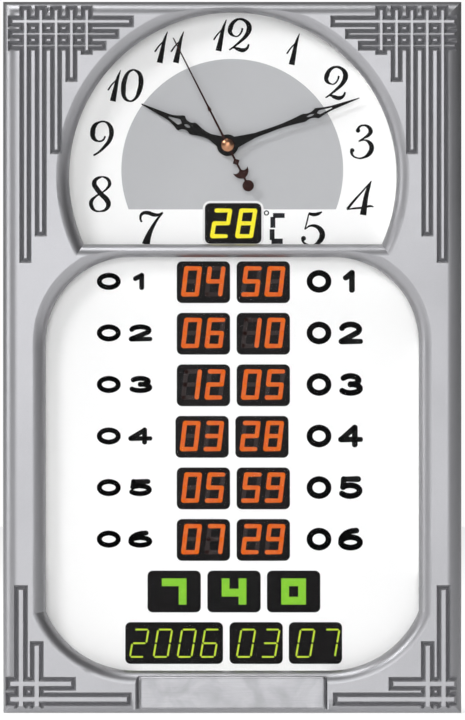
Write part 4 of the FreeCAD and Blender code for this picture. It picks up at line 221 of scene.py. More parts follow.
class Sheet(Wiring):
    """Node tree of one material while it is being made."""

    def __init__(self, name: str) -> None:
        """Starts a material with a Principled surface.

        Args:
            name: Name of the material.
        """
        self.material = bpy.data.materials.new(name)
        self.material.use_nodes = True
        super().__init__(self.material.node_tree)
        self.tree.nodes.clear()
        self.surface = self.node("ShaderNodeBsdfPrincipled", {})
        self.node("ShaderNodeOutputMaterial", {"Surface": self.surface.outputs["BSDF"]})
        self.place = self.node("ShaderNodeTexCoord", {}).outputs["Object"]

    def put(self, **values: object) -> None:
        """Feeds inputs of the surface, named with underscores for spaces."""
        for name, value in values.items():
            self.feed(self.surface.inputs[name.replace("_", " ")], value)

    def effect(self, kind: Effect, **values: object) -> bpy.types.NodeOutputs:
        """Adds a shared effect on the object's own coordinates.

        Args:
            kind: Which effect.
            values: Constant by input name.

        Returns:
            The outputs of the effect.
        """
        inputs = {"Vector": self.place, **values}
        group = bpy.data.node_groups[kind.value]
        return self.node("ShaderNodeGroup", inputs, node_tree=group).outputs

    def marks(self, scale: float) -> Socket:
        """Mask of soft clouds where hands and dust have changed the gloss."""
        return self.effect(Effect.HANDLING, Scale=scale)["Mask"]

    def blend(self, factor: Socket, low: Socket | Colour, high: Colour) -> Socket:
        """Mixes two colours.

        Args:
            factor: Socket that goes from 0 to 1.
            low: Colour at 0.
            high: Colour at 1.

        Returns:
            The mixed colour's socket.
        """
        inputs = {"A": low, "B": high, "Factor": factor}
        mix = self.node("ShaderNodeMix", inputs, data_type="RGBA", clamp_factor=True)
        return mix.outputs["Result"]

    def along(self, source: Socket, axis: str) -> Socket:
        """One coordinate of a vector."""
        return self.node("ShaderNodeSeparateXYZ", {"Vector": source}).outputs[axis]

    def bump(self, height: Socket, strength: float, depth_mm: float) -> None:
        """Feeds a height into the surface's normal.

        Args:
            height: Height socket.
            strength: Strength of the bump.
            depth_mm: Depth of the bump in millimetres.
        """
        inputs = {"Strength": strength, "Distance": depth_mm * MM, "Height": height}
        self.put(Normal=self.node("ShaderNodeBump", inputs).outputs["Normal"])

    def bands(self, axis: str, pitch_mm: float) -> Socket:
        """Even bands along an axis.

        Args:
            axis: X, Y or Z.
            pitch_mm: Distance from band to band.

        Returns:
            A value that rises and falls from 0 to 1.
        """
        inputs = {"Scale": 2 * math.pi / (20 * pitch_mm * MM), "Vector": self.place}
        wave = self.node("ShaderNodeTexWave", inputs, wave_type="BANDS", bands_direction=axis)
        return wave.outputs["Fac"]


# Finishes

@dataclass(frozen=True)
class Finish(ABC):
    """A surface finish; each instance makes one material."""

    name: str

    @abstractmethod
    def paint(self, sheet: Sheet) -> None:
        """Lays the finish on a material.

        Args:
            sheet: Material under construction.
        """

    def material(self) -> bpy.types.Material:
        """The material of this finish, made the first time it is asked for.

        Returns:
            The material.
        """
        found = bpy.data.materials.get(self.name)
        if found is None:
            sheet = Sheet(self.name)
            self.paint(sheet)
            found = sheet.material
        return found


@dataclass(frozen=True)
class SilverPaint(Finish):
    """Satin silver paint over moulded plastic: fine metal flake, a slight orange peel, dust on top."""

    colour: Colour
    dust: Colour

    def paint(self, sheet: Sheet) -> None:
        """Lays flake, peel, handling marks and dust on a material.

        Args:
            sheet: Material under construction.
        """
        flake = sheet.effect(Effect.GRAIN, Scale=2600.0, Contrast=0.9)["Value"]
        body = sheet.blend(flake, scaled(self.colour, 0.88), scaled(self.colour, 1.1))
        normal = sheet.node("ShaderNodeNewGeometry", {}).outputs["Normal"]
        facing_up = sheet.ranged(sheet.along(normal, "Z"), 0.0, 0.25, 0.75, 1.0)
        sheet.put(
            Base_Color=sheet.blend(facing_up, body, self.dust), Metallic=0.76, Coat_Weight=0.04,
            Coat_Roughness=0.25, Roughness=sheet.ranged(sheet.marks(9.0), 0.36, 0.43),
        )
        peel = sheet.effect(Effect.GRAIN, Scale=700.0, Contrast=1.0)["Height"]
        sheet.bump(peel, strength=0.12, depth_mm=0.03)


@dataclass(frozen=True)
class ClearSheet(Finish):
    """Clear acrylic sheet that hardly hides what is behind it."""

    colour: Colour
    cover: float

    def paint(self, sheet: Sheet) -> None:
        """Lays a clear sheet with faint wipe marks on a material.

        Args:
            sheet: Material under construction.
        """
        wiped = sheet.marks(14.0)
        sheet.put(
            Base_Color=self.colour, Metallic=0.0, IOR=1.49, Roughness=sheet.ranged(wiped, 0.05, 0.12),
            Alpha=sheet.ranged(wiped, self.cover, 1.4 * self.cover),
        )


@dataclass(frozen=True)
class PrintedSheet(Finish):
    """White plastic sheet with a faint print screen and a soft gloss."""

    colour: Colour

    def paint(self, sheet: Sheet) -> None:
        """Lays a barely uneven print on a material.

        Args:
            sheet: Material under construction.
        """
        tone = sheet.effect(Effect.GRAIN, Scale=1800.0, Contrast=1.0)
        sheet.put(
            Base_Color=sheet.blend(tone["Value"], scaled(self.colour, 0.975), self.colour),
            Roughness=sheet.ranged(sheet.marks(11.0), 0.42, 0.52), IOR=1.46,
        )
        sheet.bump(tone["Height"], strength=0.05, depth_mm=0.01)


@dataclass(frozen=True)
class MouldedPlastic(Finish):
    """Moulded plastic with a spark-eroded texture and a little variation in its gloss."""

    colour: Colour
    roughness: float = 0.5
    grain_per_metre: float = 1500.0
    relief: float = 0.25

    def paint(self, sheet: Sheet) -> None:
        """Lays mould texture and tone on a material.

        Args:
            sheet: Material under construction.
        """
        grain = sheet.effect(Effect.GRAIN, Scale=self.grain_per_metre, Contrast=1.0)
        clouds = sheet.marks(16.0)
        body = sheet.blend(grain["Value"], scaled(self.colour, 0.9), scaled(self.colour, 1.08, 0.002))
        dusty = scaled(self.colour, 1.3, 0.02)
        sheet.put(
            Base_Color=sheet.blend(sheet.ranged(clouds, 0.0, 0.12), body, dusty),
            Roughness=sheet.ranged(clouds, self.roughness - 0.05, self.roughness + 0.07),
        )
        sheet.bump(grain["Height"], self.relief, depth_mm=0.04)


@dataclass(frozen=True)
class TintedLens(Finish):
    """Dark tinted front of a lit module: nearly black, glossy, with a faint warm depth."""

    colour: Colour
    glow: Colour

    def paint(self, sheet: Sheet) -> None:
        """Lays a dark tint with a faint inner tone on a material.

        Args:
            sheet: Material under construction.
        """
        depth = sheet.ranged(sheet.marks(45.0), 0.0, 0.3)
        fine = sheet.effect(Effect.GRAIN, Scale=3000.0, Contrast=0.6)
        sheet.put(
            Base_Color=sheet.blend(depth, self.colour, self.glow), Specular_IOR_Level=0.035,
            Roughness=sheet.ranged(fine["Value"], 0.28, 0.4, 0.2, 0.8),
        )
        sheet.bump(fine["Height"], strength=0.06, depth_mm=0.01)


@dataclass(frozen=True)
class Ink(Finish):
    """Printed ink, slightly uneven in its cover."""

    colour: Colour

    def paint(self, sheet: Sheet) -> None:
        """Lays uneven ink on a material.

        Args:
            sheet: Material under construction.
        """
        cover = sheet.effect(Effect.GRAIN, Scale=1400.0, Contrast=1.3)["Value"]
        sheet.put(
            Base_Color=sheet.blend(cover, self.colour, scaled(self.colour, 1.0, 0.005)),
            Roughness=sheet.ranged(cover, 0.5, 0.64), Specular_IOR_Level=0.04,
        )


@dataclass(frozen=True)
class Glow(Finish):
    """Segment with a diffuser, given as emission: light from behind where it is lit, a faint painted
    glow where it is unlit, a little uneven in its tone.
    """

    colour: Colour
    edge: Colour

    def paint(self, sheet: Sheet) -> None:
        """Lays an uneven glow on a material.

        Args:
            sheet: Material under construction.
        """
        tone = sheet.ranged(sheet.marks(330.0), 0.0, 0.6)
        sheet.put(
            Base_Color=(0.02, 0.02, 0.02), Emission_Color=sheet.blend(tone, self.colour, self.edge),
            Emission_Strength=1.0, Roughness=0.5, Specular_IOR_Level=0.08,
        )


@dataclass(frozen=True)
class MarkedMetal(Finish):
    """Brushed, turned, stamped or plated metal with fine tool marks and dull blotches."""

    colour: Colour
    roughness: Point
    stretch: tuple[float, float, float] = (900.0, 6000.0, 900.0)
    contrast: float = 1.0
    tones: Point = (0.8, 1.0)
    blotches: float = 0.25
    metallic: float = 1.0
    relief: float = 0.12

    def paint(self, sheet: Sheet) -> None:
        """Lays tool marks and blotches on a material.

        Args:
            sheet: Material under construction.
        """
        tooled = sheet.effect(Effect.BRUSH, Stretch=self.stretch, Contrast=self.contrast)
        dark, light, dull = (scaled(self.colour, factor) for factor in (*self.tones, 0.6))
        body = sheet.blend(tooled["Value"], dark, light)
        blotches = sheet.ranged(sheet.marks(60.0), 0.0, self.blotches)
        sheet.put(
            Base_Color=sheet.blend(blotches, body, dull), Metallic=self.metallic,
            Roughness=sheet.ranged(tooled["Value"], *self.roughness),
        )
        sheet.bump(tooled["Height"], self.relief, depth_mm=0.02)


@dataclass(frozen=True)
class ThreadedMetal(Finish):
    """Turned brass with a fine thread along the Y axis."""

    colour: Colour
    pitch_mm: float

    def paint(self, sheet: Sheet) -> None:
        """Lays a thread on a material, with painted shade in its roots.

        Args:
            sheet: Material under construction.
        """
        thread = sheet.bands("Y", self.pitch_mm)
        # Thread roots at half the colour of the crests: painted shade in the grooves.
        sheet.put(
            Base_Color=sheet.blend(thread, scaled(self.colour, 0.5), self.colour), Metallic=1.0,
            Roughness=sheet.ranged(thread, 0.45, 0.25),
        )
        sheet.bump(thread, strength=0.6, depth_mm=0.15)


@dataclass(frozen=True)
class Lacquer(Finish):
    """Lacquer on a stamped hand; a second colour comes in from one distance to another."""

    colour: Colour
    tip: Colour
    tip_from_mm: float
    tip_to_mm: float
    shaft: Point = (-3.1, 142.9)

    def paint(self, sheet: Sheet) -> None:
        """Lays lacquer with its tip colour on a material.

        Args:
            sheet: Material under construction.
        """
        shaft = (self.shaft[0] * MM, 0.0, self.shaft[1] * MM)
        away = sheet.vector("SUBTRACT", sheet.place, shaft)["Vector"]
        flat = sheet.vector("MULTIPLY", away, (1.0, 0.0, 1.0))["Vector"]
        reach = sheet.vector("LENGTH", flat)["Value"]
        far = sheet.ranged(reach, 0.0, 1.0, self.tip_from_mm * MM, self.tip_to_mm * MM)
        fine = sheet.effect(Effect.GRAIN, Scale=1600.0, Contrast=0.8)
        sheet.put(
            Base_Color=sheet.blend(far, self.colour, self.tip), Specular_IOR_Level=0.05,
            Roughness=sheet.ranged(fine["Value"], 0.4, 0.52, 0.2, 0.8),
        )
        sheet.bump(fine["Height"], strength=0.05, depth_mm=0.01)


@dataclass(frozen=True)
class CircuitBoard(Finish):
    """Green solder mask over a grid of tracks, with plated pads."""

    mask: Colour
    track: Colour
    pad: Colour

    def paint(self, sheet: Sheet) -> None:
        """Lays tracks and pads on a material.

        Args:
            sheet: Material under construction.
        """
        flat = sheet.node("ShaderNodeMapping", {"Vector": sheet.place, "Scale": (1.0, 0.0, 1.0)})
        level = flat.outputs["Vector"]
        turned = sheet.node("ShaderNodeMapping", {"Vector": level, "Rotation": (math.pi / 2, 0.0, 0.0)})
        bricks = {
            "Vector": turned.outputs["Vector"], "Scale": 90.0, "Mortar Size": 0.035,
            "Brick Width": 0.9, "Row Height": 0.22,
        }
        runs = sheet.node("ShaderNodeTexBrick", bricks, offset=0.37, squash=1.0).outputs["Fac"]
        dots = sheet.node(
            "ShaderNodeTexVoronoi", {"Vector": level, "Scale": 190.0, "Randomness": 0.35}, feature="F1"
        )
        is_pad = sheet.ranged(dots.outputs["Distance"], 1.0, 0.0, 0.17, 0.2)
        line = sheet.blend(runs, self.mask, self.track)
        sheet.put(Base_Color=sheet.blend(is_pad, line, self.pad), Metallic=is_pad, Roughness=0.35)
        sheet.bump(runs, strength=0.2, depth_mm=0.03)


@dataclass(frozen=True)
class Banded(Finish):
    """Two colours in even bands along an axis, as of windings, laminations or a ribbon's wires."""

    low: Colour
    high: Colour
    axis: str
    pitch_mm: float
    metallic: float
    roughness: float
    relief: float = 0.5

    def paint(self, sheet: Sheet) -> None:
        """Lays bands on a material, darker where they sink: painted shade in the grooves, and for
        laminations also their dark joints.

        Args:
            sheet: Material under construction.
        """
        bands = sheet.bands(self.axis, self.pitch_mm)
        grain = sheet.effect(Effect.GRAIN, Scale=1500.0, Contrast=1.0)["Value"]
        # The low colour falls where the bump sinks: painted shade between turns and wires, partly the
        # dark joints between laminations.
        sheet.put(
            Base_Color=sheet.blend(bands, self.low, self.high), Metallic=self.metallic,
            Roughness=sheet.ranged(grain, self.roughness - 0.08, self.roughness + 0.08),
        )
        sheet.bump(bands, self.relief, depth_mm=0.1)


@dataclass(frozen=True)
class CellJacket(Finish):
    """Plain printed jacket with bare steel at both ends of a cell that lies along X."""

    jacket: Colour
    band: Colour
    steel: Colour
    centre_mm: float
    half_mm: float
    band_mm: float

    def paint(self, sheet: Sheet) -> None:
        """Lays jacket, band and bare ends on a material.

        Args:
            sheet: Material under construction.
        """
        offset = sheet.calculate("SUBTRACT", sheet.along(sheet.place, "X"), self.centre_mm * MM)
        reach = sheet.calculate("ABSOLUTE", offset)
        edge = (self.half_mm - self.band_mm) * MM
        is_band = sheet.ranged(offset, 0.0, 1.0, edge - 0.2 * MM, edge)
        bare = sheet.ranged(reach, 0.0, 1.0, (self.half_mm - 0.6) * MM, (self.half_mm - 0.5) * MM)
        body = sheet.blend(is_band, self.jacket, self.band)
        grain = sheet.effect(Effect.GRAIN, Scale=900.0, Contrast=0.8)["Value"]
        sheet.put(
            Base_Color=sheet.blend(bare, body, self.steel), Metallic=bare,
            Roughness=sheet.ranged(grain, 0.25, 0.38),
        )


@dataclass(frozen=True)
class PressedPaper(Finish):
    """Dark pressed paper with visible fibres."""

    colour: Colour

    def paint(self, sheet: Sheet) -> None:
        """Lays fibres on a material.

        Args:
            sheet: Material under construction.
        """
        fibre = sheet.effect(Effect.BRUSH, Stretch=(1400.0, 300.0, 500.0), Contrast=1.4)
        sheet.put(
            Base_Color=sheet.blend(fibre["Value"], self.colour, scaled(self.colour, 1.8, 0.01)),
            Roughness=sheet.ranged(fibre["Value"], 0.75, 0.95),
        )
        sheet.bump(fibre["Height"], strength=0.4, depth_mm=0.08)


@dataclass(frozen=True)
class StudioFloor(Finish):
    """Pale floor that the camera sees as a plain white ground, with the object's shadow on it."""

    colour: Colour
    lift: float

    def paint(self, sheet: Sheet) -> None:
        """Lays a pale floor that looks white to the camera and in gloss.

        Args:
            sheet: Material under construction.
        """
        path = sheet.node("ShaderNodeLightPath", {}).outputs
        seen = sheet.calculate("MAXIMUM", path["Is Camera Ray"], path["Is Glossy Ray"])
        clear = sheet.calculate("MAXIMUM", seen, path["Is Transmission Ray"])
        sheet.put(
            Base_Color=self.colour, Emission_Color=(1.0, 1.0, 1.0), Roughness=0.9,
            Emission_Strength=sheet.calculate("MULTIPLY", clear, self.lift),
        )


SILVER = SilverPaint("silver_paint", shade(141, 141, 144), shade(154, 153, 151))
NAMEPLATE = MarkedMetal(
    "brushed_nameplate", shade(140, 140, 143), roughness=(0.26, 0.42), stretch=(60.0, 900.0, 4200.0),
    contrast=1.2, tones=(0.86, 1.25), blotches=0.55, metallic=0.8, relief=0.2,
)
ACRYLIC = ClearSheet("clear_acrylic", (0.05, 0.055, 0.055), 0.012)
WHITE_PRINT = PrintedSheet("white_print", (0.84, 0.84, 0.84))
GREY_PRINT = PrintedSheet("grey_print", shade(178, 179, 182))
WHITE_MOULDING = MouldedPlastic("white_moulding", (0.78, 0.78, 0.76), 0.45)
BLACK_MOULDING = MouldedPlastic("black_moulding", (0.022, 0.022, 0.024), 0.5, 1500.0, 0.35)
GREY_MOULDING = MouldedPlastic("grey_moulding", (0.2, 0.2, 0.21), 0.55)
COVER_MOULDING = MouldedPlastic("cover_moulding", (0.042, 0.042, 0.044), 0.62, 1100.0, 0.5)
KEY_RUBBER = MouldedPlastic("key_rubber", (0.2, 0.2, 0.21), 0.7, 2200.0, 0.2)
CHIP_BLACK = MouldedPlastic("chip_black", (0.015, 0.015, 0.016), 0.38, 2500.0, 0.15)
GASKET_RUBBER = MouldedPlastic("gasket_rubber", (0.02, 0.02, 0.02), 0.8, 900.0, 0.3)
GEAR_NYLON = MouldedPlastic("gear_nylon", (0.72, 0.7, 0.62), 0.4, 2600.0, 0.1)
FERRITE = MouldedPlastic("ferrite", (0.045, 0.045, 0.048), 0.6, 2200.0, 0.6)
LENS = TintedLens("tinted_lens", (0.005, 0.0045, 0.005), (0.009, 0.006, 0.006))
INK = Ink("black_ink", (0.003, 0.003, 0.003))
WHITE_INK = Ink("white_ink", (0.82, 0.82, 0.82))
RULE_INK = Ink("grey_ink", shade(34, 34, 38))
ORANGE_GLOW = Glow("orange_glow", shade(220, 90, 4), shade(228, 114, 18))
# Unlit segments: a faint painted glow, emitted in place of the dim red their diffusers show under the
# lamps.
UNLIT_SEGMENT_PAINTED_GLOW = Glow("unlit_segment_painted_glow", shade(30, 9, 7), shade(24, 8, 7))
GREEN_GLOW = Glow("green_glow", shade(134, 204, 34), shade(120, 196, 30))
LIME_GLOW = Glow("lime_glow", shade(206, 226, 46), shade(158, 206, 38))
YELLOW_GLOW = Glow("yellow_glow", shade(250, 238, 40), shade(244, 226, 30))
ZINC = MarkedMetal("zinc_plated_steel", (0.62, 0.62, 0.64), (0.24, 0.42))
BLACK_STEEL = MarkedMetal("black_steel", (0.12, 0.12, 0.125), (0.3, 0.48))
BRASS = MarkedMetal("brass", (0.72, 0.53, 0.2), (0.2, 0.38))
# Its thread roots are painted darker, as painted shade.
THREADED_BRASS = ThreadedMetal("threaded_brass", (0.72, 0.53, 0.2), 0.5)
BLACK_LACQUER = Lacquer("black_hand_lacquer", (0.004, 0.004, 0.004), (0.006, 0.005, 0.005), 30, 95)
RED_LACQUER = Lacquer("red_hand_lacquer", (0.026, 0.008, 0.007), (0.4, 0.014, 0.01), 84, 89)
COPPER = MarkedMetal("copper_dome", (0.36, 0.18, 0.1), (0.22, 0.4), (2500.0, 2500.0, 2500.0))
# The darker band colour below is painted shade in the grooves; for the laminations it is also their dark
# joints.
COIL_WIRE = Banded("coil_wire", (0.2, 0.06, 0.02), (0.62, 0.24, 0.08), "X", 0.25, 0.6, 0.35)
LAMINATED_STEEL = Banded("laminated_steel", (0.3, 0.3, 0.31), (0.55, 0.55, 0.57), "Y", 0.4, 1.0, 0.4)
RIBBON_GREY = Banded("ribbon_grey", (0.22, 0.23, 0.24), (0.42, 0.43, 0.45), "X", 1.27, 0.0, 0.55, 0.7)
BOARD = CircuitBoard("circuit_board", (0.012, 0.09, 0.035), (0.03, 0.16, 0.06), (0.6, 0.58, 0.5))
PAPER = PressedPaper("pressed_paper", (0.03, 0.03, 0.03))
FLOOR = StudioFloor("studio_floor", (0.9, 0.9, 0.9), 0.8)


def link(name: str, data: bpy.types.ID) -> bpy.types.Object:
    """Adds an object with the given data to the scene.

    Args:
        name: Name of the object.
        data: Its mesh, curve, camera or lamp.

    Returns:
        The object.
    """
    made = bpy.data.objects.new(name, data)
    bpy.context.scene.collection.objects.link(made)
    return made


def dress(node: str, finish: Finish) -> None:
    """Gives a CAD node its finish.

    Args:
        node: Name of the node.
        finish: The finish it gets.
    """
    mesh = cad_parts[node].data
    material = finish.material()
    if not mesh.materials:
        mesh.materials.append(material)
    for index in range(len(mesh.materials)):
        mesh.materials[index] = material
    log.info("%s: %s", node, finish.name)


def mesh_of(shape: bmesh.types.BMesh, name: str) -> bpy.types.Mesh:
    """Turns a finished bmesh into a mesh with outward normals.

    Args:
        shape: The bmesh; it is freed.
        name: Name of the mesh.

    Returns:
        The mesh.
    """
    bmesh.ops.recalc_face_normals(shape, faces=shape.faces)
    mesh = bpy.data.meshes.new(name)
    shape.to_mesh(mesh)
    shape.free()
    return mesh


def add_piece(name: str, shape: bmesh.types.BMesh, finish: Finish, body: str) -> None:
    """Adds a shape as a piece of the object.

    Args:
        name: Name of the piece.
        shape: Its bmesh, already in place.
        finish: Its finish.
        body: Body that it moves with.
    """
    mesh = mesh_of(shape, name)
    mesh.materials.append(finish.material())
    piece = link(name, mesh)
    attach(piece, body)
    log.info("%s: %d faces, %s", name, len(mesh.polygons), finish.name)


def add_layer(
    name: str, shape: bmesh.types.BMesh, finish: Finish, ground: float, depth_mm: float,
    gap_mm: float = 0.0,
) -> None:
    """Makes all flat faces of a shape into a thin layer in front of a surface of the case.

    Args:
        name: Name of the piece.
        shape: Its flat faces.
        finish: Its finish.
        ground: Y of the surface, in metres.
        depth_mm: From the surface to the front of the layer.
        gap_mm: From the surface to the back of the layer.
    """
    faces = list(shape.faces)
    front, back = ground - depth_mm * MM, ground - gap_mm * MM
    for vertex in {corner for face in faces for corner in face.verts}:
        vertex.co.y = back
    grown = bmesh.ops.extrude_face_region(shape, geom=faces)
    verts = [part for part in grown["geom"] if isinstance(part, bmesh.types.BMVert)]
    bmesh.ops.translate(shape, verts=verts, vec=(0, front - back, 0))
    add_piece(name, shape, finish, "case")


def circle(
    shape: bmesh.types.BMesh, centre: Point, radius: float, segments: int, filled: bool = True
) -> list[bmesh.types.BMVert]:
    """Adds a circle to a bmesh, in the plane Y = 0.

    Args:
        shape: The bmesh.
        centre: Its centre (x, z), in millimetres.
        radius: Its radius, in millimetres.
        segments: Number of its sides.
        filled: Whether it has a face.

    Returns:
        Its corners.
    """
    made = bmesh.ops.create_circle(shape, cap_ends=filled, radius=radius * MM, segments=segments)
    bmesh.ops.rotate(shape, verts=made["verts"], matrix=UPRIGHT)
    bmesh.ops.translate(shape, verts=made["verts"], vec=(centre[0] * MM, 0, centre[1] * MM))
    return made["verts"]


def capsule(shape: bmesh.types.BMesh, start: Point, end: Point, half: float, segments: int) -> None:
    """Adds a flat bar with round ends to a bmesh, in the plane Y = 0.

    Args:
        shape: The bmesh.
        start: Centre of one end (x, z), in millimetres.
        end: Centre of the other end.
        half: Half width of the bar, in millimetres.
        segments: Sides of the circle that is stretched to the bar.
    """
    verts = circle(shape, (0, 0), half, segments)
    run = Vector(((end[0] - start[0]) * MM, 0, (end[1] - start[1]) * MM))
    ahead = [vertex for vertex in verts if vertex.co.dot(run) > 1e-12]
    bmesh.ops.translate(shape, verts=ahead, vec=run)
    bmesh.ops.translate(shape, verts=verts, vec=(start[0] * MM, 0, start[1] * MM))


def bar(shape: bmesh.types.BMesh, left: float, bottom: float, right: float, top: float) -> None:
    """Adds a flat rectangle to a bmesh, in the plane Y = 0, from its sides in millimetres.

    Args:
        shape: The bmesh.
        left: X of its left side.
        bottom: Z of its lower side.
        right: X of its right side.
        top: Z of its upper side.
    """
    verts = bmesh.ops.create_grid(shape, x_segments=1, y_segments=1, size=0.5)["verts"]
    bmesh.ops.rotate(shape, verts=verts, matrix=UPRIGHT)
    bmesh.ops.scale(shape, verts=verts, vec=((right - left) * MM, 1.0, (top - bottom) * MM))
    middle = ((left + right) / 2 * MM, 0, (bottom + top) / 2 * MM)
    bmesh.ops.translate(shape, verts=verts, vec=middle)


def round_off(shape: bmesh.types.BMesh, corners: list[bmesh.types.BMVert], radius_mm: float) -> None:
    """Rounds corners of a flat shape.

    Args:
        shape: The bmesh.
        corners: The corners.
        radius_mm: How far from each corner its rounding starts.
    """
    bmesh.ops.bevel(
        shape, geom=corners, offset=radius_mm * MM, segments=6, profile=0.5, affect="VERTICES",
        material=-1,
    )


@dataclass(frozen=True)
class SegmentFace:
    """Seven-segment figure: where its strokes run and which are lit for each number."""

    half_width: float
    half_height: float
    stroke: float
    gap: float
    slant: float

    LIT = {
        "0": "abcdef", "1": "bc", "2": "abged", "3": "abgcd", "4": "fgbc", "5": "afgcd",
        "6": "afgedc", "7": "abc", "8": "abcdefg", "9": "abcdfg",
    }

    def ends(self, segment: str) -> tuple[Point, Point]:
        """Both ends of a segment about the figure's centre.

        Args:
            segment: Letter of the segment, from a at the top, clockwise, to g in the middle.

        Returns:
            The two end points.
        """
        x, z, gap = self.half_width, self.half_height, self.gap
        return {
            "a": ((-x + gap, z), (x - gap, z)),
            "b": ((x, z - gap), (x, gap)),
            "c": ((x, -gap), (x, gap - z)),
            "d": ((-x + gap, -z), (x - gap, -z)),
            "e": ((-x, -gap), (-x, gap - z)),
            "f": ((-x, z - gap), (-x, gap)),
            "g": ((-x + gap, 0.0), (x - gap, 0.0)),
        }[segment]

    def draw(self, shape: bmesh.types.BMesh, number: str, centre: Point, lit: bool = True) -> None:
        """Adds the segments of a number to a bmesh.

        Args:
            shape: The bmesh.
            number: The number.
            centre: Centre of the figure (x, z), in millimetres.
            lit: Whether the lit segments are added, or else the others.
        """
        for segment in self.LIT[number] if lit else sorted(set("abcdefg") - set(self.LIT[number])):
            start, end = (
                (centre[0] + x + self.slant * z, centre[1] + z) for x, z in self.ends(segment)
            )
            capsule(shape, start, end, self.stroke, SEGMENT_SIDES)


def draw_strokes(strokes: tuple[Stroke, ...], weight: float) -> bmesh.types.BMesh:
    """Thin layer of ink in the shape of pen strokes.

    Args:
        strokes: Each stroke's points (x, z, half width) about the sign's centre, in millimetres.
        weight: Factor on the half widths.

    Returns:
        The shape, about the sign's centre.
    """
    shape = bmesh.new()
    for stroke in strokes:
        if len(stroke) == 1:
            x, z, half = stroke[0]
            dot = circle(shape, (x, z), half * weight, RING_SIDES)
            bmesh.ops.translate(shape, verts=dot, vec=(0, -0.02 * MM, 0))
            continue
        pen = bpy.data.curves.new("pen", "CURVE")
        pen.dimensions = "3D"
        pen.bevel_depth = MM
        pen.bevel_resolution = 2
        pen.resolution_u = 8
        pen.use_fill_caps = True
        line = pen.splines.new("BEZIER")
        line.bezier_points.add(len(stroke) - 1)
        for point, (x, z, half) in zip(line.bezier_points, stroke):
            point.co = (x * MM, z * MM, 0)
            point.radius = half * weight
            point.handle_left_type = point.handle_right_type = "AUTO"
        holder = link("pen", pen)
        depsgraph = bpy.context.evaluated_depsgraph_get()
        drawn = bpy.data.meshes.new_from_object(holder.evaluated_get(depsgraph))
        drawn.transform(UPRIGHT.to_4x4() @ Matrix.Scale(0.015, 4, (0, 0, 1)))
        shape.from_mesh(drawn)
        bpy.data.objects.remove(holder)
        bpy.data.curves.remove(pen)
        bpy.data.meshes.remove(drawn)
    bmesh.ops.remove_doubles(shape, verts=list(shape.verts), dist=1e-7)
    return shape


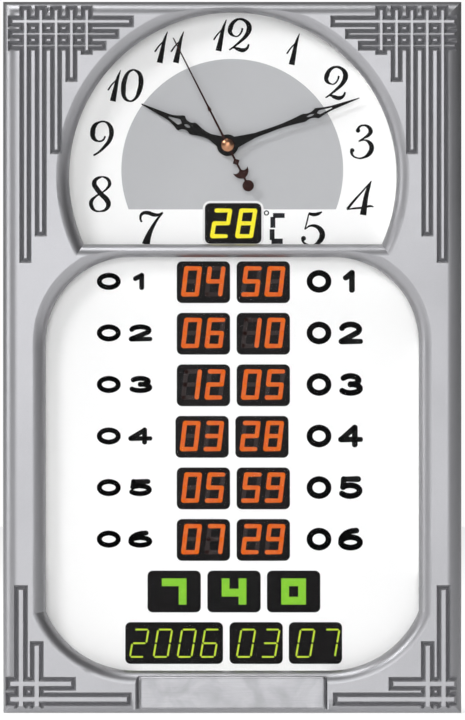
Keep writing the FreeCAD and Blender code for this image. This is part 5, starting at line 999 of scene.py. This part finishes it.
# Strokes of the dial's pen-drawn numbers: (x, z, half width) about each number's centre
DIAL_FIGURES: dict[str, tuple[Stroke, ...]] = {
    "1": (
        ((4.3, 10.6, 0.27), (2.3, 5.0, 0.93), (0.7, -2.3, 1.33), (-0.3, -7.0, 1.59),
         (-1.0, -10.4, 1.79)),
        ((-4.2, -3.0, 0.53), (-2.0, 0.3, 0.46), (1.0, 3.6, 0.4)),
    ),
    "2": (
        ((2.0, 4.8, 0.6), (1.3, 2.2, 0.53), (-1.0, -0.5, 0.46), (-2.7, -0.8, 0.4),
         (-6.3, 1.9, 1.19), (-6.0, 5.2, 1.46), (-4.0, 8.8, 1.06), (-0.3, 10.8, 0.66),
         (3.6, 9.8, 0.93), (6.3, 6.5, 1.46), (6.4, 3.8, 1.59), (4.6, -0.1, 1.19),
         (0.3, -4.4, 0.8), (-4.3, -8.1, 0.53), (-7.0, -9.9, 0.4)),
        ((-6.6, -9.9, 0.33), (-4.0, -8.4, 0.53), (-1.0, -9.4, 1.13), (2.3, -10.1, 1.26),
         (5.0, -8.8, 0.8), (6.3, -6.1, 0.53)),
    ),
    "3": (
        ((-2.8, 7.4, 1.13), (-1.9, 9.9, 0.66), (1.3, 11.1, 0.53), (4.6, 9.7, 1.06),
         (5.8, 7.1, 1.33), (4.6, 4.8, 1.06), (1.3, 2.5, 0.6), (-2.3, 0.3, 0.4)),
        ((-2.3, 0.1, 0.27), (2.0, 1.1, 0.46), (5.3, -0.9, 1.19), (6.5, -3.8, 1.46),
         (5.0, -7.8, 1.33), (1.3, -10.5, 0.66), (-2.7, -11.0, 0.46), (-6.3, -9.1, 0.6),
         (-7.2, -6.2, 1.06)),
        ((-2.7, 7.6, 1.33),),
        ((-6.6, -5.8, 1.33),),
    ),
    "4": (
        ((7.5, 11.4, 0.33), (5.6, 6.8, 1.06), (4.0, 0.8, 1.33), (3.0, -5.2, 1.59),
         (2.0, -11.5, 1.99)),
        ((7.5, 11.3, 0.27), (1.3, 4.1, 0.53), (-4.6, -2.5, 0.73), (-8.6, -7.5, 0.8)),
        ((-9.0, -7.8, 0.33), (-3.3, -7.0, 0.6), (2.7, -6.5, 0.6), (7.0, -5.5, 0.66),
         (9.0, -6.0, 0.33)),
    ),
    "5": (
        ((-2.8, 10.0, 0.8), (0.7, 9.3, 1.13), (4.0, 10.0, 0.93), (6.1, 11.1, 0.4)),
        ((-2.7, 10.0, 0.4), (-4.0, 4.4, 0.46), (-5.4, -0.8, 0.46)),
        ((-5.3, -0.6, 0.33), (-2.0, 1.6, 0.6), (2.0, 1.4, 1.06), (5.6, -1.6, 1.59),
         (6.3, -4.9, 1.72), (4.6, -8.6, 1.46), (0.7, -11.2, 0.6), (-3.3, -11.0, 0.53),
         (-6.6, -8.9, 0.66), (-6.5, -6.6, 1.19)),
        ((-6.3, -6.8, 1.46),),
    ),
    "7": (
        ((-6.3, 4.0, 0.53), (-7.2, 6.6, 0.66), (-6.0, 9.6, 0.93), (-2.3, 10.3, 1.19),
         (1.7, 9.0, 1.19), (5.3, 9.0, 0.8), (8.0, 10.5, 0.53)),
        ((7.8, 10.3, 0.53), (4.3, 6.0, 0.73), (0.3, -0.7, 1.19), (-2.0, -6.0, 1.79),
         (-3.5, -11.1, 2.39)),
    ),
    "8": (
        ((1.5, 11.8, 0.46), (-2.5, 10.1, 1.06), (-4.0, 7.2, 1.46), (-2.2, 3.5, 1.46),
         (1.1, -0.5, 1.46), (4.4, -3.8, 1.59), (5.6, -7.1, 1.46), (3.4, -10.7, 0.86),
         (-0.2, -11.7, 0.46)),
        ((1.5, 11.8, 0.46), (5.1, 10.1, 0.93), (6.4, 6.8, 1.06), (4.4, 3.5, 0.66),
         (1.1, 0.9, 0.46), (-3.2, -1.8, 0.66), (-6.0, -5.1, 1.19), (-5.7, -8.4, 1.19),
         (-3.2, -11.2, 0.66), (-0.2, -11.7, 0.46)),
    ),
    "9": (
        ((2.2, 1.7, 0.53), (0.5, -1.0, 0.6), (-2.5, -1.7, 0.53), (-5.8, 0.7, 1.33),
         (-6.3, 4.3, 1.59), (-5.1, 8.6, 1.33), (-1.8, 11.1, 0.6), (1.9, 11.4, 0.53),
         (4.8, 9.3, 1.06), (6.3, 5.3, 1.46), (5.2, -0.7, 1.26), (1.5, -5.6, 0.93),
         (-2.5, -9.3, 0.66), (-5.8, -11.3, 0.53)),
    ),
    "0": (
        ((1.2, 10.6, 0.53), (4.8, 8.0, 1.13), (6.0, 3.3, 1.52), (4.8, -4.0, 1.39),
         (1.9, -9.3, 0.8), (-1.3, -10.7, 0.53), (-4.8, -8.6, 1.06), (-5.8, -2.7, 1.52),
         (-4.8, 4.0, 1.39), (-2.1, 9.0, 0.8), (1.2, 10.6, 0.53)),
    ),
}

# The panel's plain numbers: (centre x, centre z, reach x, reach z, from degree, to degree) for an arc
# and (x, z, x, z) for a straight line, in halves of the number's width and height
PLAIN_FIGURES: dict[str, tuple[tuple[float, ...], ...]] = {
    "0": ((0.0, 0.0, 1.0, 1.0, 0, 360),),
    "1": ((0.15, -1.0, 0.15, 1.0), (0.15, 1.0, -0.5, 0.45)),
    "2": ((0.0, 0.42, 0.92, 0.58, 165, -35), (0.754, 0.087, -0.95, -1.0), (-0.95, -1.0, 1.0, -1.0)),
    "3": ((0.0, 0.5, 0.85, 0.5, 150, -90), (0.0, -0.48, 1.0, 0.52, 90, -150)),
    "4": ((0.45, -1.0, 0.45, 1.0), (0.45, 1.0, -1.0, -0.4), (-1.0, -0.4, 1.0, -0.4)),
    "5": ((0.8, 1.0, -0.7, 1.0), (-0.7, 1.0, -0.78, 0.05), (-0.05, -0.36, 1.0, 0.64, 138, -148)),
    "6": ((0.0, -0.38, 1.0, 0.62, 0, 360), (0.55, -0.25, 1.55, 1.25, 88, 178)),
}


def draw_figure(shape: bmesh.types.BMesh, figure: str, centre: Point, reach: Point, half: float) -> None:
    """Draws one plain number flat, as a row of round-ended strokes.

    Args:
        shape: Where the number goes.
        figure: The number.
        centre: Its centre (x, z), in millimetres.
        reach: Half its width and half its height, in millimetres.
        half: Half the width of its strokes, in millimetres.
    """
    for part in PLAIN_FIGURES[figure]:
        if len(part) == 4:
            points = [(part[0], part[1]), (part[2], part[3])]
        else:
            x, z, wide, high, start, end = part
            steps = max(2, round(abs(end - start) / ARC_STEP_DEGREES))
            turns = [math.radians(start + (end - start) * step / steps) for step in range(steps + 1)]
            points = [(x + wide * math.cos(turn), z + high * math.sin(turn)) for turn in turns]
        places = [(centre[0] + px * reach[0], centre[1] + pz * reach[1]) for px, pz in points]
        for first, second in zip(places, places[1:]):
            capsule(shape, first, second, half, PEN_SIDES)


Finishes = tuple[tuple[Finish, str], ...]


@dataclass
class SubAssembly:
    """Part of the clock: its CAD nodes with their finishes, and the pieces made on them."""

    finishes: Finishes

    def dress(self) -> None:
        """Gives every CAD node of the sub-assembly its finish."""
        for finish, nodes in self.finishes:
            for node in nodes.split():
                dress(node, finish)

    def build(self) -> None:
        """Leaves the solids as they are, where a sub-assembly has no pieces beyond them."""
        log.info("%s: no pieces beyond its solids", type(self).__name__)


@dataclass
class Case(SubAssembly):
    """Silver front, bare nameplate, clear pane and the black cover behind."""

    finishes: Finishes = (
        (SILVER, "front_frame"),
        (NAMEPLATE, "nameplate"),
        (ACRYLIC, "front_pane"),
        (WHITE_MOULDING, "pane_spacers"),
        (GREY_MOULDING, "chassis"),
        (COVER_MOULDING, "rear_cover movement_door"),
        (BLACK_STEEL, "cover_screws"),
        (ZINC, "chassis_screws small_screws"),
    )
    plate_edge: float = 1.5
    rounding_steps: int = 4

    def build(self) -> None:
        """Rounds the edges of the nameplate as a pressed plate has them."""
        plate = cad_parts["nameplate"]
        weld = plate.modifiers.new("weld", "WELD")
        weld.merge_threshold = 1e-5
        edge = plate.modifiers.new("pressed_edge", "BEVEL")
        edge.width = self.plate_edge * MM
        edge.segments = self.rounding_steps
        edge.limit_method = "ANGLE"
        log.info("case: nameplate edges rounded by %.1f mm", self.plate_edge)


@dataclass
class Dial(SubAssembly):
    """Printed dial: grey centre, pen-drawn numbers, and the temperature display."""

    finishes: Finishes = (
        (WHITE_PRINT, "dial_plate"), (LENS, "temperature_display"), (BOARD, "temperature_board"),
    )
    disc_centre: Point = (0.0, 126.4)
    disc_radius: float = 74.7
    disc_chord: float = 99.8
    print_depth: float = 0.04
    glow_depth: float = 0.06
    border: float = 1.5
    window_corner: float = 3.6
    pen_weight: float = 1.14
    figures: tuple[tuple[str, float, float], ...] = (
        ("1", -8.3, 216.9), ("2", 4.9, 217.1), ("1", 41.0, 207.6), ("2", 69.8, 184.9),
        ("3", 87.4, 145.3), ("4", 86.1, 107.5), ("5", 54.3, 87.0), ("7", -54.7, 87.2),
        ("8", -89.0, 110.1), ("9", -87.7, 147.4), ("1", -79.5, 183.0), ("0", -67.5, 183.4),
        ("1", -47.9, 208.9), ("1", -37.0, 208.9),
    )
    temperature: SegmentFace = SegmentFace(4.7, 8.65, 1.45, 0.3, 0.16)
    temperature_places: tuple[tuple[str, float, float], ...] = (("2", -7.5, 90.4), ("8", 9.4, 90.4))
    unit_ring: Block = (23.05, 97.36, 1.8, 1.0)
    unit_bars: tuple[Block, ...] = (
        (27.4, 94.0, 35.3, 97.3), (25.7, 87.4, 29.0, 94.7),
        (25.2, 79.1, 28.5, 86.4), (26.4, 76.5, 34.0, 80.1),
    )

    def build(self) -> None:
        """Makes the prints and the lit figures of the dial."""
        self.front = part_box("dial_plate")[0].y
        self.add_disc()
        self.add_window_border()
        for count, (figure, x, z) in enumerate(self.figures, start=1):
            shape = draw_strokes(DIAL_FIGURES[figure], self.pen_weight)
            bmesh.ops.translate(shape, verts=shape.verts, vec=(x * MM, self.front, z * MM))
            add_piece(f"dial_figure_{count:02d}", shape, INK, "case")
        self.add_unit_sign()
        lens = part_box("temperature_display")[0].y
        shape = bmesh.new()
        for number, x, z in self.temperature_places:
            self.temperature.draw(shape, number, (x, z))
        add_layer("temperature_figures", shape, YELLOW_GLOW, lens, self.glow_depth)

    def add_disc(self) -> None:
        """Makes the grey disc, cut straight above the temperature display."""
        shape = bmesh.new()
        circle(shape, self.disc_centre, self.disc_radius, DISC_SIDES)
        bmesh.ops.bisect_plane(
            shape, geom=[*shape.verts, *shape.edges, *shape.faces],
            plane_co=(0, 0, self.disc_chord * MM), plane_no=(0, 0, 1), clear_inner=True,
        )
        self.cut_notch(shape)
        add_layer(
            "dial_disc", shape, GREY_PRINT, self.front, self.print_depth / 2
        )

    def cut_notch(self, shape: bmesh.types.BMesh) -> None:
        """Cuts the disc away round the temperature window.

        Args:
            shape: The flat disc.
        """
        low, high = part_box("temperature_display")
        reach = self.border * MM / 2
        left, right, top = low.x - reach, high.x + reach, high.z + reach
        sides = (((left, 0, 0), (1, 0, 0)), ((right, 0, 0), (1, 0, 0)), ((0, 0, top), (0, 0, 1)))
        for place, normal in sides:
            geometry = [*shape.verts, *shape.edges, *shape.faces]
            bmesh.ops.bisect_plane(shape, geom=geometry, plane_co=place, plane_no=normal)
        inside = [
            face for face in shape.faces
            if left < face.calc_center_median().x < right and face.calc_center_median().z < top
        ]
        bmesh.ops.delete(shape, geom=inside, context="FACES")
        bmesh.ops.dissolve_faces(shape, faces=list(shape.faces), use_verts=False)
        tips = [
            vert for vert in shape.verts if abs(vert.co.z - top) < TOUCH
            and min(abs(vert.co.x - left), abs(vert.co.x - right)) < TOUCH
        ]
        round_off(shape, tips, self.window_corner + self.border / 2)

    def add_window_border(self) -> None:
        """Makes the white line round the temperature window."""
        low, high = (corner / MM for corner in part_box("temperature_display"))
        grow = self.border
        shape = bmesh.new()
        bar(shape, low.x - grow, low.z - grow, high.x + grow, high.z + grow)
        round_off(shape, list(shape.verts), self.window_corner + grow)
        inner = list(shape.faces)
        bmesh.ops.inset_region(
            shape, faces=inner, thickness=grow * MM, use_boundary=True, use_even_offset=True
        )
        bmesh.ops.delete(shape, geom=inner, context="FACES")
        add_layer(
            "window_border", shape, WHITE_INK, self.front, self.print_depth
        )

    def add_unit_sign(self) -> None:
        """Makes the degree ring and the four bars beside the temperature window."""
        x, z, outer, inner = self.unit_ring
        shape = bmesh.new()
        for radius in (outer, inner):
            circle(shape, (x, z), radius, RING_SIDES, filled=False)
        bmesh.ops.bridge_loops(shape, edges=list(shape.edges))
        for block in self.unit_bars:
            bar(shape, *block)
        add_layer("unit_sign", shape, RULE_INK, self.front, self.print_depth)


@dataclass
class Hands(SubAssembly):
    """Three lacquered hands and the dome over their shaft."""

    finishes: Finishes = (
        (BLACK_LACQUER, "hour_hand minute_hand"), (RED_LACQUER, "second_hand"), (COPPER, "centre_cap"),
    )


@dataclass
class DisplayPanel(SubAssembly):
    """Printed panel with its LED modules, row numbers and lit figures."""

    finishes: Finishes = (
        (WHITE_PRINT, "display_panel"), (LENS, "time_displays day_displays date_displays"),
        (BOARD, "display_board"), (BLACK_MOULDING, "board_spacers"),
    )
    rows: tuple[tuple[str, str], ...] = (
        ("04", "50"), ("06", "10"), ("12", "05"), ("03", "28"), ("05", "59"), ("07", "29"),
    )
    row_top: float = 50.7
    row_pitch: float = 34.7
    columns: Point = (-19.4, 20.9)
    shifts: tuple[float, ...] = (0.0, 0.0, 0.0, -0.9, 0.0, 0.0)
    figure_offsets: Point = (-8.0, 7.8)
    figure_rise: float = 0.55
    time_face: SegmentFace = SegmentFace(4.53, 8.77, 1.53, 0.2, 0.115)
    day_row: float = -157.5
    day_blocks: tuple[tuple[float, tuple[Block, ...]], ...] = (
        (-39.1, ((-8.3, 3.6, 8.3, 8.8), (3.1, -8.8, 8.3, 3.6))),
        (1.2, ((-8.3, 1.8, -3.1, 8.8), (-8.3, -3.4, 3.1, 1.8), (3.1, -8.8, 8.3, 8.8))),
        (41.3, ((-8.3, -8.8, -3.1, 8.8), (3.1, -8.8, 8.3, 8.8), (-3.1, 3.6, 3.1, 8.8),
                (-3.1, -8.8, 3.1, -3.6))),
    )
    date_places: tuple[tuple[str, float], ...] = (
        ("2", -62.6), ("0", -46.7), ("0", -30.6), ("6", -15.1), ("0", 9.3), ("3", 25.6),
        ("0", 49.2), ("7", 65.9),
    )
    date_row: float = -192.3
    date_face: SegmentFace = SegmentFace(4.7, 9.2, 0.62, 1.1, 0.17)
    label_sides: tuple[tuple[str, float, Point, float], ...] = (
        ("left", -72.5, (6.4, 4.1), 1.75), ("right", 69.0, (6.4, 5.7), 2.05),
    )
    label_gap: float = 4.2
    print_depth: float = 0.03
    glow_depth: float = 0.06
    lit_depth: float = 0.08
    lit_gap: float = 0.03
    dark_depth: float = 0.02

    def build(self) -> None:
        """Makes every lit figure and the printed row numbers."""
        self.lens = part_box("time_displays")[0].y
        for row, pair in enumerate(self.rows):
            z = self.row_top - row * self.row_pitch + self.figure_rise
            self.add_time(row, pair, z)
            self.add_labels(row, z)
        days, date = bmesh.new(), bmesh.new()
        for x, blocks in self.day_blocks:
            for left, bottom, right, top in blocks:
                bar(days, x + left, self.day_row + bottom, x + right, self.day_row + top)
        add_layer("day_figures", days, GREEN_GLOW, self.lens, self.glow_depth)
        for number, x in self.date_places:
            self.date_face.draw(date, number, (x, self.date_row))
        add_layer("date_figures", date, LIME_GLOW, self.lens, self.glow_depth)

    def add_time(self, row: int, pair: tuple[str, str], z: float) -> None:
        """Makes the lit segments of one row, and its dark ones, which carry a faint painted glow.

        Args:
            row: Number of the row from 0.
            pair: Hours and minutes, two figures each.
            z: Height of the figures' centres.
        """
        lit, dark = bmesh.new(), bmesh.new()
        for column, numbers in zip(self.columns, pair):
            for offset, number in zip(self.figure_offsets, numbers):
                centre = (column + self.shifts[row] + offset, z)
                self.time_face.draw(lit, number, centre)
                self.time_face.draw(dark, number, centre, lit=False)
        name = f"time_figures_{row + 1}"
        add_layer(name, lit, ORANGE_GLOW, self.lens, self.lit_depth, self.lit_gap)
        # The dark segments carry a faint painted glow, though nothing lights them.
        add_layer(f"time_dark_segments_{row + 1}", dark, UNLIT_SEGMENT_PAINTED_GLOW, self.lens, self.dark_depth)

    def add_labels(self, row: int, z: float) -> None:
        """Prints the row's number on both sides of its displays.

        Args:
            row: Number of the row from 0.
            z: Height of the figures' centres.
        """
        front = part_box("display_panel")[0].y
        for side, x, reach, stroke in self.label_sides:
            shape = bmesh.new()
            for place, number in zip((-1, 1), f"{row + 1:02d}"):
                draw_figure(shape, number, (x + place * (reach[0] + self.label_gap), z), reach, stroke)
            name = f"row_number_{side}_{row + 1}"
            add_layer(name, shape, INK, front, self.print_depth)


@dataclass
class Movement(SubAssembly):
    """Quartz movement with its wheels, motor and cell."""

    finishes: Finishes = (
        (BLACK_MOULDING, "movement_case movement_back"), (THREADED_BRASS, "threaded_bush"),
        (GEAR_NYLON, "train_bridge hour_wheel motion_wheel minute_arbor third_wheel"),
        (GEAR_NYLON, "second_arbor fifth_wheel setting_knob"), (BRASS, "bush_nut"),
        (GASKET_RUBBER, "movement_gasket"), (ZINC, "bush_washer cell_contacts"),
        (FERRITE, "rotor"), (LAMINATED_STEEL, "stator"), (COIL_WIRE, "drive_coil"),
        (BOARD, "movement_board"),
    )
    band_mm: float = 14.0

    def build(self) -> None:
        """Gives the cell a plain jacket that fits its measured length."""
        low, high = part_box("aa_cell")
        jacket = CellJacket(
            "cell_jacket", (0.03, 0.035, 0.04), (0.5, 0.26, 0.08), (0.6, 0.6, 0.62),
            (low.x + high.x) / 2 / MM, (high.x - low.x) / 2 / MM, self.band_mm,
        )
        dress("aa_cell", jacket)


@dataclass
class Controls(SubAssembly):
    """Control board with its keys, volume control, switch, inlet and backup cell."""

    finishes: Finishes = (
        (BOARD, "control_board"), (CHIP_BLACK, "control_chips key_switches"),
        (KEY_RUBBER, "hour_key minute_key mode_key stop_key volume_knob power_slider"),
        (GREY_MOULDING, "volume_control switch_body"), (BLACK_MOULDING, "power_jack"),
        (ZINC, "backup_cell"), (RIBBON_GREY, "ribbon_cable"),
    )


@dataclass
class Loudspeaker(SubAssembly):
    """Pressed frame, paper cone and magnet."""

    finishes: Finishes = (
        (ZINC, "speaker_frame"), (PAPER, "speaker_cone"), (FERRITE, "speaker_magnet"),
    )


@dataclass
class Studio:
    """Camera, lamps, white surroundings and the floor."""

    view_centre: Point = (0.17, -1.68)
    view_height: float = 483.1
    lens_mm: float = 400.0
    sensor_mm: float = 36.0
    view_end: float = 50.0
    lamps: tuple[tuple[str, tuple[float, float, float], float, float], ...] = (
        ("front_lamp", (-0.2, -5.8, 1.35), 158.0, 3.2),
        ("key_lamp", (-2.3, -2.4, 2.3), 62.0, 1.0),
        ("left_rim_lamp", (-3.2, -0.5, 0.5), 28.0, 1.3),
        ("top_rim_lamp", (-0.6, -0.5, 3.2), 54.0, 1.3),
    )
    ambient: float = 0.015
    floor_half: float = 6.0
    floor_gap: float = 0.5

    def build(self) -> None:
        """Places camera, lamps, world and floor."""
        self.add_camera()
        for lamp in self.lamps:
            self.add_lamp(*lamp)
        self.add_world()
        self.add_floor()
        bpy.context.scene.view_settings.view_transform = "Standard"

    def add_camera(self) -> None:
        """Sets a long lens square in front of the clock."""
        camera = bpy.data.cameras.new("camera")
        camera.sensor_fit = "VERTICAL"
        camera.sensor_height = self.sensor_mm
        camera.lens = self.lens_mm
        camera.clip_end = self.view_end
        holder = link("camera", camera)
        distance = self.lens_mm * self.view_height / self.sensor_mm * MM
        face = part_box("front_frame")[0].y
        x, z = self.view_centre
        holder.location = (x * MM, face - distance, z * MM)
        holder.rotation_euler = (math.pi / 2, 0, 0)
        bpy.context.scene.camera = holder
        log.info("camera %.3f m in front of the face", distance)

    def add_lamp(self, name: str, place: tuple[float, float, float], power: float, size: float) -> None:
        """Adds a square soft lamp aimed at the clock.

        Args:
            name: Name of the lamp.
            place: Where it stands, in metres.
            power: Power in watts.
            size: Side of the square, in metres.
        """
        lamp = bpy.data.lights.new(name, "AREA")
        lamp.energy = power
        lamp.size = size
        holder = link(name, lamp)
        holder.location = place
        aim = Vector((0, 0, 0)) - Vector(place)
        holder.rotation_euler = aim.to_track_quat("-Z", "Y").to_euler()

    def add_world(self) -> None:
        """Makes surroundings that light little and look white."""
        world = bpy.data.worlds.new("surroundings")
        bpy.context.scene.world = world
        world.use_nodes = True
        sky = Wiring(world.node_tree)
        sky.tree.nodes.clear()
        path = sky.node("ShaderNodeLightPath", {}).outputs
        seen = sky.calculate("MAXIMUM", path["Is Camera Ray"], path["Is Transmission Ray"])
        level = sky.ranged(seen, self.ambient, 1.0)
        light = sky.node("ShaderNodeBackground", {"Color": (1.0, 1.0, 1.0), "Strength": level})
        sky.node("ShaderNodeOutputWorld", {"Surface": light.outputs["Background"]})

    def add_floor(self) -> None:
        """Adds a wide pale floor just under the clock."""
        low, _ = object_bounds()
        shape = bmesh.new()
        bmesh.ops.create_grid(shape, x_segments=1, y_segments=1, size=self.floor_half)
        bmesh.ops.translate(shape, verts=shape.verts, vec=(0, 0, low[2] - self.floor_gap * MM))
        mesh = mesh_of(shape, "floor")
        mesh.materials.append(FLOOR.material())
        floor = link("floor", mesh)
        floor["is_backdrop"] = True


def corners(box: tuple[Vector, Vector]) -> list[list[float]]:
    """Both corners of a box as plain lists."""
    return [[float(value) for value in corner] for corner in box]


def main() -> None:
    """Builds the studio and every sub-assembly."""
    logging.basicConfig(level=logging.INFO, format="%(name)s: %(message)s")
    build_effects()
    Studio().build()
    for part in (Case(), Dial(), Hands(), DisplayPanel(), Movement(), Controls(), Loudspeaker()):
        part.dress()
        part.build()


if __name__ == "__main__":
    main()
